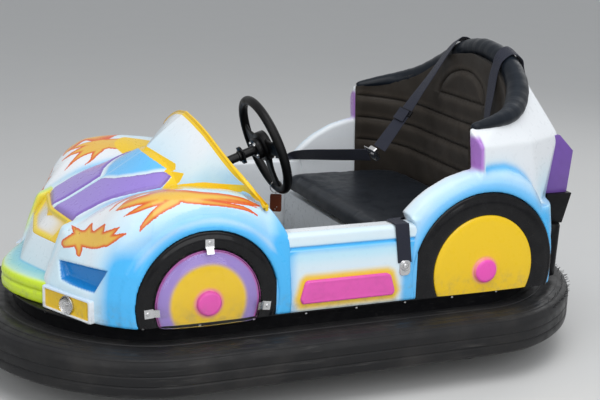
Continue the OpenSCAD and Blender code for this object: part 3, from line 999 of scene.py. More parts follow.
@dataclass
class Studio:
    """The camera, the lamps and the pale floor.

    Attributes:
        distance: How far the camera stands from the car's middle, in metres.
        azimuth: Direction that the camera stands in, in degrees.
        elevation: Its height angle in degrees.
        roll: Its turn about the view, in degrees.
        yaw: Small turn to the side, in radians.
        pitch: Small turn up, in radians.
        lens: Focal length on a 36 mm wide sensor.
    """

    distance: float = 3.781
    azimuth: float = 157.991
    elevation: float = 15.231
    roll: float = 1.6
    yaw: float = 0.015
    pitch: float = -0.014
    lens: float = 1190.749 * 36.0 / 600.0

    def stand(self) -> Matrix:
        """The camera's place and turn.

        Returns:
            The camera's matrix.
        """
        a, e, r = (radians(v) for v in (self.azimuth, self.elevation, self.roll))
        back = Vector((sin(a) * cos(e), -cos(a) * cos(e), sin(e)))
        right = Vector((0, 0, 1)).cross(back).normalized()
        up = back.cross(right)
        axes = Matrix((cos(r) * right + sin(r) * up, -sin(r) * right + cos(r) * up, back))
        turn = Matrix(((cos(self.yaw), 0, sin(self.yaw)), (0, 1, 0),
                       (-sin(self.yaw), 0, cos(self.yaw))))
        tip = Matrix(((1, 0, 0), (0, cos(self.pitch), -sin(self.pitch)),
                      (0, sin(self.pitch), cos(self.pitch))))
        axes = tip @ turn @ axes
        return Matrix.Translation(Vector((0, 0, 0.4)) + back * self.distance) @ axes.transposed().to_4x4()

    def seen(self, x: Array, y: Array, z: Array) -> tuple[Array, Array]:
        """Finds where points lie in the 600 by 400 frame, for laying out paint on the mesh.

        Args:
            x: Distance forward, in millimetres.
            y: Distance to the left.
            z: Height above the floor.

        Returns:
            The columns and the rows in the frame.
        """
        turn = np.array(self.stand().inverted())
        u, v, w = turn[:3, :3] @ (np.stack([x, y, z]) * MM) + turn[:3, 3:]
        scale = self.lens * 600.0 / 36.0 / -w
        return 300.0 + scale * u, 200.0 - scale * v

    def make_camera(self) -> None:
        """Stands the camera at the photograph's place."""
        data = bpy.data.cameras.new("camera")
        data.lens, data.sensor_width, data.sensor_fit = self.lens, 36.0, "HORIZONTAL"
        camera = linked("camera", data)
        camera.matrix_world = self.stand()
        bpy.context.scene.camera = camera

    def make_lamp(self, name: str, place: Sequence[float], size: float, power: float) -> None:
        """Hangs a square lamp that points at the car.

        Args:
            name: The lamp's name.
            place: Where it hangs, in metres.
            size: Its side, in metres.
            power: Its power in watts.
        """
        data = bpy.data.lights.new(name, "AREA")
        data.shape, data.size, data.energy = "SQUARE", size, power
        lamp = linked(name, data)
        lamp.location = place
        lamp.rotation_euler = (Vector((0, 0, 0.4)) - Vector(place)).to_track_quat("-Z", "Y").to_euler()

    def make_floor(self) -> None:
        """Lays the pale floor, a flat plate with a faint grain."""
        floor = new_mesh("floor", [(-60, -60, 0), (60, -60, 0), (60, 60, 0), (-60, 60, 0)], [(0, 1, 2, 3)])
        r = Recipe("studio_floor", (0.62, 0.62, 0.62), Roughness=0.85, Specular_IOR_Level=0.2)
        r.set("Base Color", r.mix(r.math("MULTIPLY", r.noise(3.0, 4.0), 0.3), (0.66, 0.66, 0.65),
                                  (0.60, 0.60, 0.60)))
        floor.data.materials.append(r.material)

    def make_world(self) -> None:
        """Sets an even pale surrounding."""
        world = bpy.data.worlds.new("surrounding")
        bpy.context.scene.world = world
        world.use_nodes = True
        tree = world.node_tree
        tree.nodes.clear()
        out, path = tree.nodes.new("ShaderNodeOutputWorld"), tree.nodes.new("ShaderNodeLightPath")
        mix = tree.nodes.new("ShaderNodeMixShader")
        for socket, colour, strength in ((1, (0.93, 0.96, 1.0, 1.0), 0.5),
                                         (2, (0.64, 0.65, 0.66, 1.0), 1.0)):
            shade = tree.nodes.new("ShaderNodeBackground")
            shade.inputs[0].default_value, shade.inputs[1].default_value = colour, strength
            tree.links.new(shade.outputs[0], mix.inputs[socket])
        shown = path.outputs["Is Camera Ray"]
        for kind in ("Is Glossy Ray", "Is Transmission Ray"):
            either = tree.nodes.new("ShaderNodeMath")
            either.operation = "MAXIMUM"
            tree.links.new(shown, either.inputs[0])
            tree.links.new(path.outputs[kind], either.inputs[1])
            shown = either.outputs[0]
        tree.links.new(shown, mix.inputs[0])
        tree.links.new(mix.outputs[0], out.inputs[0])

    def make(self) -> None:
        """Sets up everything around the car."""
        self.make_camera()
        self.make_floor()
        self.make_world()
        for name, place, size, power in (
            ("sky_panel", (0.4, 1.6, 4.2), 3.2, 90.0), ("front_panel", (3.6, 2.4, 2.0), 2.4, 30.0),
            ("side_panel", (-0.4, 4.4, 2.3), 3.2, 60.0), ("rear_panel", (-3.4, -1.6, 2.8), 2.0, 20.0),
        ):
            self.make_lamp(name, place, size, power)
        bpy.context.scene.view_settings.view_transform = "Standard"


@dataclass(frozen=True)
class WindscreenBand:
    """The yellow line where the windscreen meets the hood, laid out in the photograph's frame."""

    outline: Points = (
        (143.7, 144.7), (147.5, 146.7), (175.8, 163.7), (175.5, 169.5), (171.5, 171.3), (184.4, 173.2),
        (180.8, 180.5), (177.2, 184.4), (203, 182), (220, 183.4), (246, 185), (257, 195), (266, 206.5),
        (256, 199.5), (246, 191.5), (220, 189), (183, 188.8), (161.3, 188.9), (171.7, 176.9), (164, 171.2),
        (166.7, 168.8), (141.7, 151.7), (139, 147),
    )

    @classmethod
    def depth(cls, x: Array, y: Array, z: Array) -> Array:
        """Depth inside the band, in metres, and 0 outside it. Both sides of the car carry it."""
        u, v = Studio().seen(x, np.abs(y), z)
        inside = -polygon_distance(u, v, cls.outline) * 3.2 * MM
        return np.where((z > 535) & (x < 480) & (inside > 0), inside, 0.0)


@dataclass
class FrontBody:
    """The front moulding: hood, fenders, nose channel, scoops, and the pockets of the sham wheels."""

    levels: Sequence = (
        (254.9, ((594, 469), (656, 433), (701, 383), (743, 308), (793, 206), (800, 0))),
        (330, ((592, 470), (656, 435), (702, 385), (747, 305), (790, 206), (794, 0))),
        (400, ((582, 470), (645, 436), (694, 388), (731, 300), (766, 206), (766, 0))),
        (477, ((556, 468), (628, 434), (672, 386), (707, 300), (738, 200), (738, 0))),
        (560, ((550, 466), (620, 430), (664, 382), (698, 300), (728, 200), (728, 0))),
    )
    cuts: Sequence[float] = (40, 34, 34, 40, 14)
    rear_edge: Points = ((255, 150), (330, 155), (400, 158), (452, 160), (490, 168), (530, 189), (640, 240))
    hood: Points = (
        (738, 480, 477), (690, 500, 492), (640, 528, 518), (600, 551, 535), (540, 586, 548), (500, 612, 556),
        (453, 640, 566), (400, 652, 576), (300, 652, 580),
    )
    crest: Points = (
        (150, 470), (168, 495), (189, 532), (215, 563), (242, 588), (300, 603), (363, 610),
        (419, 615), (486, 613), (551, 605), (606, 585), (649, 560), (700, 520), (740, 485),
    )
    foot: Points = ((0, 455), (80, 436), (150, 424), (205, 412), (260, 352), (330, 292),
                    (405, 258), (446, 244))
    channel: Points = ((255, 783), (300, 781), (340, 778), (400, 774), (414, 772), (490, 724), (540, 692))
    channel_half: float = 176.0
    panel: Points = (
        (727, 12), (612, 11), (578, 15), (556, 66), (520, 108), (481, 134), (432, 150),
        (412, 170), (432, 186), (458, 204), (532, 190), (605, 175), (704, 164),
    )
    tyre: tuple[float, float, float] = (397.0, 310.0, 203.5)
    wall: float = 14.0

    def height(self, x: Array, y: Array) -> Array:
        """Height of the hood without its raised panels."""
        middle, valley = smooth_table(self.hood, 1, 10.0)(x), smooth_table(self.hood, 2, 14.0)(x)
        crown = valley + (middle - valley) * (1.0 - np.minimum(y / 205.0, 1.0) ** 2)
        return crown - 0.5 * np.maximum(y - 205.0, 0.0)

    def field(self, x: Array, y: Array, z: Array) -> Array:
        """Signed distance of the whole moulding.

        Args:
            x: Sample places along the car.
            y: Sample places across it, on the left half.
            z: Sample heights.

        Returns:
            The distance at each sample.
        """
        plan = contour_stack(x, y, z, self.levels, -200.0, (0, *self.cuts))
        top_z = self.height(x, y)
        raised = smooth_step(-polygon_distance(x, y, self.panel), -1.0, 7.0)
        hood = (z - top_z - 7.0 * raised) * 0.92
        crest = smooth_table(self.crest, 1, 9.0)
        ridge, valley = crest(x), smooth_table(self.hood, 2, 14.0)(x)
        slope = (crest(x + 4.0) - crest(x - 4.0)) / 8.0
        upper = (z - ridge + 0.00035 * (y - 350.0) ** 2) / np.sqrt(1.0 + slope**2)
        rise = np.clip((ridge - valley) / 130.0, 0.05, 1.6)
        inner = ((z - valley) - rise * (y - 195.0)) / np.sqrt(1.0 + rise**2)
        fender = round_max(upper, inner, 46.0)
        top = round_min(hood, fender, 16.0)
        outer = 8.0 + 86.0 * smooth_step(y, 185.0, 330.0) * smooth_step(x, 150.0, 260.0)
        arch = np.hypot(x - self.tyre[0], z - self.tyre[1])
        flare = 3.2 * smooth_step(self.tyre[2] + 42.0 - arch, 0.0, 5.0) * smooth_step(y, 380.0, 420.0)
        rim = 1.8 * bell(arch - self.tyre[2] - 12.0, 4.0) * (y > 400)
        body = round_max(plan - flare - rim, top, outer)
        body = round_max(body, smooth_table(self.rear_edge, 1, 8.0)(z) - x, 5.0)
        groove = smooth_table(self.channel, 1, 3.0)(z) - 0.17 * y - x
        body = round_max(body, -round_max(groove, y - self.channel_half, 6.0), 6.0)
        body = round_max(body, -self._scoop(x, y, z), 5.0)
        body = round_max(body, -np.maximum(arch - self.tyre[2], 455.5 - y), 2.5)
        shell = np.maximum(body, -(body + self.wall))
        ahead = x - smooth_table(self.foot, 1, 12.0)(y) + 16.0
        under_cowl = np.maximum(np.maximum(ahead, 480.0 - z), y - 400.0)
        footwell = np.maximum(np.maximum(x - 268.0, y - 409.0), 90.0 - z)
        return np.maximum(np.maximum(np.maximum(shell, -under_cowl), -footwell), 255.0 - z)

    def _scoop(self, x: Array, y: Array, z: Array) -> Array:
        """Signed distance of the pocket beside the channel.

        Args:
            x: Distance forward, in millimetres.
            y: Distance to the left.
            z: Height above the floor.

        Returns:
            Distances to the scoop, negative inside it.
        """
        c, s = cos(radians(27.0)), sin(radians(27.0))
        depth = (x - 711.0) * c + (y - 320.0) * s
        along = -(x - 711.0) * s + (y - 320.0) * c
        mouth = polygon_distance(along, z - 376.0, ((-102, 22), (112, 36), (67, -32), (-69, -26)))
        return round_max(mouth + 0.35 * (12.0 - depth), -(depth + 11.0), 3.0)

    def paint(self, piece: Piece) -> None:
        """Keeps the airbrushed tints and the crisp shapes on the mesh.

        Args:
            piece: The piece.
        """
        x, y, z = places_of(piece).T
        a = np.abs(y)
        arch = np.hypot(x - self.tyre[0], z - self.tyre[1]) - self.tyre[2]
        high = smooth_step(z, 520.0, 600.0)
        side = smooth_step(a, 300.0, 400.0)
        near_arch = bell(np.maximum(arch, 0.0), 66.0) * side
        # Painted highlight: a thin lighter arc over the wheel arch, where the blue tint is taken away.
        painted_highlight_arc = bell(arch - 27.0, 7.0) * side
        corner = bell(x - 640.0, 46.0) * smooth_step(a, 380.0, 430.0) * (1 - smooth_step(z, 400.0, 520.0))
        rear_low = smooth_step(x, 230.0, 180.0) * side
        sky = np.clip(near_arch * (1 - 0.8 * high * (arch > 60)) - 0.3 * painted_highlight_arc + 0.85 * corner
                      + 0.7 * rear_low, 0, 1)
        hood = 1 - smooth_step(a, 150.0, 235.0)
        dome = polygon_distance(x, a, ((600, -9), (574, 10), (552, 62), (516, 104), (478, 130),
                                       (430, 146), (405, 150), (380, -9)))
        sky = np.where(z > 470, np.maximum(sky, 0.9 * smooth_step(-dome, 0.0, 16.0)), sky)
        valley = bell(a - 206.0, 20.0) * (z > 470)
        sky = np.maximum(sky, 0.5 * valley * smooth_step(x, 720.0, 560.0))
        pale = np.clip(0.45 * valley + 0.30 * hood + 0.5 * bell(arch - 80.0, 60.0) * side, 0, 1)
        pale = np.maximum(pale, 0.5 * smooth_step(x, 660.0, 740.0) * smooth_step(a, 176.0, 240.0))
        pale = np.maximum(pale, 0.7 * bell(a, 11.0) * (x > 560) * (z > 470))
        lip = bell(a - self.channel_half - 16.0, 16.0) * smooth_step(z, 345.0, 400.0) * (x > 690)
        store(piece, "sky", sky)
        store(piece, "pale", np.maximum(np.clip(pale, 0, 1), 0.5 * lip * (y > 0)))
        store(piece, "deep", smooth_step(-self._scoop(x, a, z), -1.8, -0.2) * (z < 430))
        store(piece, "lime", np.clip(0.85 * lip * (y < 0), 0, 1))
        ledge = smooth_step(x + 0.15 * a, 722.0, 727.0) * (z > 452) * (a < self.channel_half - 1)
        far_rim = 0.9 * bell(a - self.channel_half, 10.0) * (x > 690) * smooth_step(z, 400.0, 440.0)
        far_rim = far_rim * (a < self.channel_half + 8) * (y < 0)
        store(piece, "sun", np.clip(np.maximum(ledge, far_rim), 0, 1))
        inside = -polygon_distance(x, a, self.panel) * MM
        store(piece, "panel", np.where((z > 470) & (inside > 0), inside, 0.0))
        store(piece, "band", WindscreenBand.depth(x, y, z))
        store(piece, "lick", self._flames(x, y, z))

    @staticmethod
    def _flames(x: Array, y: Array, z: Array) -> Array:
        """Depth inside the painted flame licks, in metres, and 0 outside them.

        Args:
            x: Distance forward, in millimetres.
            y: Distance to the left.
            z: Height above the floor.

        Returns:
            The depths, one for each point.
        """
        a = np.abs(y)
        u, v = Studio().seen(x, a, z)
        outer = strokes_distance(u, v, (
            ((146, 198, 3.5), (160, 196, 6), (180, 196, 6.5), (200, 196.5, 5), (222, 197, 3.6),
             (242, 200, 2.6), (259, 206, 1)),
            ((156, 197, 5), (138, 201, 4.2), (121, 207, 3), (109, 211, 1.8), (99, 215, 0.3)),
            ((162, 200, 4.5), (148, 205, 3.4), (135, 211, 2.2), (123, 217, 0.3)),
            ((176, 200, 5.5), (162, 208, 4.8), (151, 217, 3.6), (143, 226, 2.2), (139, 232, 0.3)),
            ((186, 199, 4.5), (206, 202, 3.2), (228, 205, 2.4), (246, 209, 1.8), (260, 217, 0.3)),
            ((208, 197, 3.4), (230, 201, 2), (250, 205, 1.2), (262, 210, 0.3)),
            ((66, 243, 5), (80, 238.5, 8), (95, 240, 9), (108, 239, 5.5)),
            ((80, 236, 6), (75, 229.5, 2.8), (71, 225, 0.4)),
            ((87, 236, 6), (90, 228, 2.6), (92.5, 222, 0.3)),
            ((97, 236, 6), (102, 228.5, 2.8), (105.5, 223, 0.3)),
            ((104, 238, 6), (113, 231.5, 2.8), (120, 227, 0.3)),
            ((106, 241, 6), (117, 237, 2.8), (128, 232.5, 0.3)),
            ((78, 243, 5), (79, 250, 3.4), (78, 256, 2.2)),
        ))
        inner = strokes_distance(x, a, (
            ((380, 332, 14), (440, 326, 26), (500, 316, 34), (548, 300, 24), (575, 288, 14), (606, 270, 7),
             (640, 246, 1)),
            ((540, 318, 22), (580, 316, 13), (615, 316, 6), (645, 322, 0.5)),
            ((500, 338, 24), (560, 346, 16), (600, 354, 9), (640, 364, 1)),
            ((470, 300, 24), (440, 276, 12), (405, 262, 6), (370, 262, 0.5)),
            ((430, 334, 18), (380, 322, 10), (330, 314, 4), (290, 318, 0.5)),
            ((520, 285, 16), (540, 262, 10), (556, 240, 5), (590, 222, 0.5)),
        ))
        outer_depth = np.where((a > 348) | (x > 650), -outer * 3.2, -1.0)
        inner_depth = np.where(a < 352, -inner, -1.0)
        depth = np.where((a > 190) & (z > 425), np.maximum(outer_depth, inner_depth), -1.0)
        return np.maximum(depth, 0.0) * MM

    def make(self, paint: Finish) -> Piece:
        """Builds and paints the moulding.

        Args:
            paint: The finish of the painted mouldings.

        Returns:
            The finished piece.
        """
        net = SurfaceNet((150.0, 255.0), (800.0, 476.0, 664.0))
        piece = net.mesh("front_moulding", self.field(*net.axes()))
        self.paint(piece)
        return publish(piece, Body.BASE, paint, "front_body")


@dataclass
class Cowl:
    """The windscreen moulding over the footwell, with its rolled yellow lip."""

    lip: Points = (
        (318, 0, 753), (314, 84, 741), (307, 168, 719), (299, 252, 690), (289, 336, 658), (274, 400, 624),
        (232, 447, 566),
    )
    foot: Points = (
        (455, 0, 638), (440, 80, 614), (417, 205, 562), (356, 264, 584), (298, 334, 600), (258, 402, 592),
        (228, 448, 560),
    )
    crown: float = 3.0
    wall: float = 9.0
    band: float = 19.0

    def make(self, paint: Finish) -> Piece:
        """Builds the curved shell from its foot to its lip, with both faces and a rounded rim.

        Args:
            paint: The finish of the painted mouldings.

        Returns:
            The finished piece.
        """
        lip, foot = spline(self.lip, 20), spline(self.foot, 20)
        lip = np.vstack([(lip * [1, -1, 1])[:0:-1], lip])
        foot = np.vstack([(foot * [1, -1, 1])[:0:-1], foot])
        rows = []
        for v in np.concatenate([[-0.16, -0.06], np.linspace(0.0, 1.0, 64)]):
            if v < 0:
                row = foot + (lip - foot) * v * 0.6
                row[:, 2] -= 60 * -v
            else:
                row = foot * (1 - v) + lip * v
                row[:, [0, 2]] += self.crown * sin(pi * min(v, 1))
            rows.append(row)
        grid = np.array(rows)
        normal = unit(np.cross(np.gradient(grid, axis=1), np.gradient(grid, axis=0)))
        if normal[:, :, 2].mean() < 0:
            normal = -normal
        # A bead runs along the lip, a little proud of the shell.
        span = unit(lip - foot)
        bead = []
        for angle in np.radians(np.linspace(75, -255, 12)):
            bead.append(grid[-1] - span * 6.0 + normal[-1] * (-4.0 + 6.5 * sin(angle))
                        + span * 6.5 * cos(angle))
        inner = [grid[k] - normal[k] * self.wall for k in range(len(grid) - 2, -1, -1)]
        sheet = np.array([*grid[:-2], *bead, *inner])
        count, width = sheet.shape[:2]
        index = np.arange(count * width).reshape(count, width)
        wrapped = np.vstack([index, index[:1]])
        faces = np.stack([wrapped[:-1, :-1], wrapped[1:, :-1], wrapped[1:, 1:], wrapped[:-1, 1:]], axis=-1)
        faces = faces.reshape(-1, 4).tolist() + [list(index[:, 0]), list(index[::-1, -1])]
        piece = faced_out(new_mesh("cowl_moulding", sheet.reshape(-1, 3) * MM, faces))
        self._paint(piece, sheet, lip, foot)
        shade_by_angle(piece, 60.0)
        return publish(piece, Body.BASE, paint, "cowl")

    def _paint(self, piece: Piece, sheet: Array, lip: Array, foot: Array) -> None:
        """Tints the shell blue toward its foot and yellow along its lip and foot.

        Args:
            piece: The piece.
            sheet: The shell's rows of points.
            lip: Points of the lip.
            foot: Points of the foot.
        """
        flat = sheet.reshape(-1, 3)
        column = np.arange(len(flat)) % sheet.shape[1]
        from_lip = np.linalg.norm(flat - lip[column], axis=1)
        from_foot = np.linalg.norm(flat - foot[column], axis=1)
        store(piece, "band", np.maximum(np.maximum(self.band - from_lip, 0.0) * MM,
                                        WindscreenBand.depth(*flat.T)))
        side = smooth_step(np.abs(flat[:, 1]), 60.0, 300.0)
        store(piece, "sky", np.clip(smooth_step(from_foot, 80.0, 0.0) * (0.12 + 0.3 * side), 0, 1))
        store(piece, "pale", np.clip(smooth_step(from_foot, 190.0, 20.0) * 0.4, 0, 1))


@dataclass
class RearBody:
    """The rear moulding: arches over the sham wheels and the faceted shell behind the seat."""

    levels: Sequence = (
        (254.9, ((-640, 469), (-702, 459), (-734, 410), (-756, 352), (-780, 298), (-790, 0))),
        (420, ((-640, 469), (-700, 458), (-734, 410), (-754, 354), (-772, 298), (-780, 0))),
        (500, ((-630, 468), (-692, 452), (-728, 404), (-748, 350), (-765, 300), (-772, 0))),
    )
    cuts: Sequence[float] = (34, 30, 26, 26, 12)
    arch: Points = (
        (-205, 505), (-217, 518), (-245, 545), (-282, 572), (-346, 604), (-412, 622), (-479, 630),
        (-531, 627), (-585, 607), (-623, 582), (-655, 545), (-684, 500), (-720, 440),
    )
    wing: Points = (
        (-448, 460, 480), (-690, 400, 480), (-762, 320, 480), (-768, 0, 480),
        (-436, 461, 694), (-650, 392, 690), (-806, 300, 688), (-812, 0, 688), (-421, 402, 745),
    )
    crown: Points = (
        (-436, 461, 694), (-650, 392, 690), (-806, 300, 688), (-812, 0, 688),
        (-424, 408, 742), (-520, 396, 750), (-590, 365, 758), (-650, 318, 772), (-695, 268, 802),
        (-722, 212, 852), (-732, 140, 894), (-734, 70, 910), (-734, 0, 914),
    )
    pad: Points = (
        (-440, 407, -426, 401, 742), (-503, 401, -503, 389, 752), (-563, 376, -575, 360, 762),
        (-606, 322, -642, 312, 790), (-630, 238, -682, 244, 832), (-640, 130, -699, 146, 882),
        (-642, 0, -702, 0, 905),
    )
    tyre: tuple[float, float, float] = (-465.0, 324.0, 238.5)
    front: Points = ((255, -222), (390, -220), (430, -224), (462, -231), (488, -222), (514, -206),
                     (560, -200))
    wall: float = 14.0

    def _cavity(self, x: Array, y: Array, z: Array) -> Array:
        """Signed distance of the space that the seat and its pad fill.

        Args:
            x: Distance forward, in millimetres.
            y: Distance to the left.
            z: Height above the floor.

        Returns:
            Distances to the cavity, negative inside it.
        """
        pad = np.array(self.pad, float)
        out = np.empty((x.size, y.size, z.size))
        for k, height in enumerate(z.ravel()):
            share = np.clip((height - 385.0) / (pad[:, 4] - 385.0), -0.3, 1.0)
            half = np.stack([pad[:, 0] + (pad[:, 2] - pad[:, 0]) * share,
                             pad[:, 1] + (pad[:, 3] - pad[:, 1]) * share], axis=1)
            half = spline(half, 5)
            half = np.vstack([[200.0, half[0][1]], half])
            whole = np.vstack([half, (half * [1, -1])[::-1]])
            out[:, :, k] = polygon_distance(x[:, :, 0], y[:, :, 0], whole)
        return np.maximum(out, 90.0 - z)

    def field(self, x: Array, y: Array, z: Array) -> Array:
        """Signed distance of the whole moulding.

        Args:
            x: Distance forward, in millimetres.
            y: Distance to the left.
            z: Height above the floor.

        Returns:
            Distances to the moulding's surface, negative inside it.
        """
        plan = contour_stack(x, y, z, self.levels, 200.0, (0, *self.cuts))
        arch_z = smooth_table(self.arch, 1, 8.0)
        slope = (arch_z(x + 4.0) - arch_z(x - 4.0)) / 8.0
        top = (z - arch_z(x)) / np.sqrt(1.0 + slope**2)
        round_tyre = np.hypot(x - self.tyre[0], z - self.tyre[1])
        flare = 3.0 * smooth_step(self.tyre[2] + 34.0 - round_tyre, 0.0, 5.0) * smooth_step(y, 380.0, 420.0)
        rim = 1.8 * bell(round_tyre - self.tyre[2] - 11.0, 4.0) * (y > 400)
        arches = round_max(round_max(plan - flare - rim, top, 44.0), 407.0 - y, 10.0)
        lower = round_max(plan, z - 500.0, 8.0)
        shell = round_min(hull_distance(x, y, z, self.wing), hull_distance(x, y, z, self.crown), 3.0)
        body = round_min(np.minimum(arches, lower), shell, 9.0)
        body = round_max(body, x - smooth_table(self.front, 1, 6.0)(z), 4.0)
        body = np.maximum(body, -np.maximum(round_tyre - self.tyre[2], 455.5 - y))
        cavity = self._cavity(x, y, z)
        lining = np.minimum(self.wall - cavity, z - 340.0)
        body = np.maximum(body, -np.maximum(np.maximum(body + self.wall, z - 470.0), lining))
        return np.maximum(round_max(body, -cavity, 3.0), 255.0 - z)

    def paint(self, piece: Piece) -> None:
        """Keeps the airbrushed tints on the mesh.

        Args:
            piece: The piece.
        """
        x, y, z = places_of(piece).T
        a = np.abs(y)
        arch = np.hypot(x - self.tyre[0], z - self.tyre[1]) - self.tyre[2]
        side = smooth_step(a, 404.0, 440.0)
        sky = bell(np.maximum(arch, 0), 46.0) * side
        above = z - smooth_table(self.arch, 1, 8.0)(x)
        junction = bell(above - 3.0, 13.0) * (x < -452) * (z > 560) * (a > 330)
        sky = np.clip(sky * 0.95 * (above < 14) + 0.8 * junction, 0, 1)
        front = smooth_step(x - 0.05 * (z - 690.0), -449.0, -441.0) * smooth_step(z, 616.0, 636.0)
        front *= smooth_step(a, 396.0, 404.0) * (1.0 - smooth_step(z, 712.0, 730.0))
        store(piece, "violet", np.clip(0.97 * front, 0, 1))
        store(piece, "rose", 0.22 * front)
        fade = smooth_step(z, 650.0, 520.0) * smooth_step(-x, 640.0, 720.0)
        store(piece, "pale", np.clip(0.55 * fade + 0.35 * bell(arch - 55.0, 45.0) * side, 0, 1))
        outside = 1.0 - (a < 414) * (z < 560) * (x > -700)
        store(piece, "sky", np.clip(sky + 0.5 * fade * smooth_step(z, 560.0, 470.0), 0, 1) * outside)

    def make(self, paint: Finish) -> Piece:
        """Builds and paints the moulding.

        Args:
            paint: The finish of the painted mouldings.

        Returns:
            The finished piece.
        """
        net = SurfaceNet((-812.0, 255.0), (-205.0, 474.0, 916.0), 5.5)
        piece = net.mesh("rear_moulding", self.field(*net.axes()))
        self.paint(piece)
        return publish(piece, Body.BASE, paint, "rear_body")


def loft(name: str, rings: Points, caps: bool = True) -> Piece:
    """Makes a surface through rings of points.

    Args:
        name: The piece's name.
        rings: Points in millimetres, as rings by columns by 3.
        caps: Whether the first and last rings are filled.

    Returns:
        The new object, with its faces pointing outwards.
    """
    rings = np.asarray(rings, float)
    count, width = rings.shape[:2]
    index = np.arange(count * width).reshape(count, width)
    index = np.hstack([index, index[:, :1]])
    faces = np.stack([index[:-1, :-1], index[:-1, 1:], index[1:, 1:], index[1:, :-1]],
                     axis=-1).reshape(-1, 4).tolist()
    if caps:
        faces += [list(index[0, :width])[::-1], list(index[-1, :width])]
    return faced_out(new_mesh(name, rings.reshape(-1, 3) * MM, faces))


def tube(path: Array, radius: Array | float, sides: int = 14, flat: float = 1.0,
         up: Sequence[float] = (0, 0, 1)) -> Array:
    """Sweeps a round or oval section along a path.

    Args:
        path: Points along the middle, in millimetres.
        radius: One radius, or one for each point.
        sides: Points round the section.
        flat: Height of the section for a width of 1.
        up: Direction that the section's height leans to.

    Returns:
        Rows of points, one row for each point of the path.
    """
    path = np.asarray(path, float)
    radius = np.broadcast_to(np.asarray(radius, float), (len(path),))
    ahead = unit(np.gradient(path, axis=0))
    side = np.cross(np.broadcast_to(np.asarray(up, float), ahead.shape), ahead)
    side /= np.maximum(np.linalg.norm(side, axis=1, keepdims=True), 1e-9)
    over = np.cross(ahead, side)
    turn = np.linspace(0.0, 2.0 * pi, sides, endpoint=False)
    return (path[:, None, :] + radius[:, None, None] * (np.cos(turn)[None, :, None] * side[:, None, :]
            + flat * np.sin(turn)[None, :, None] * over[:, None, :]))


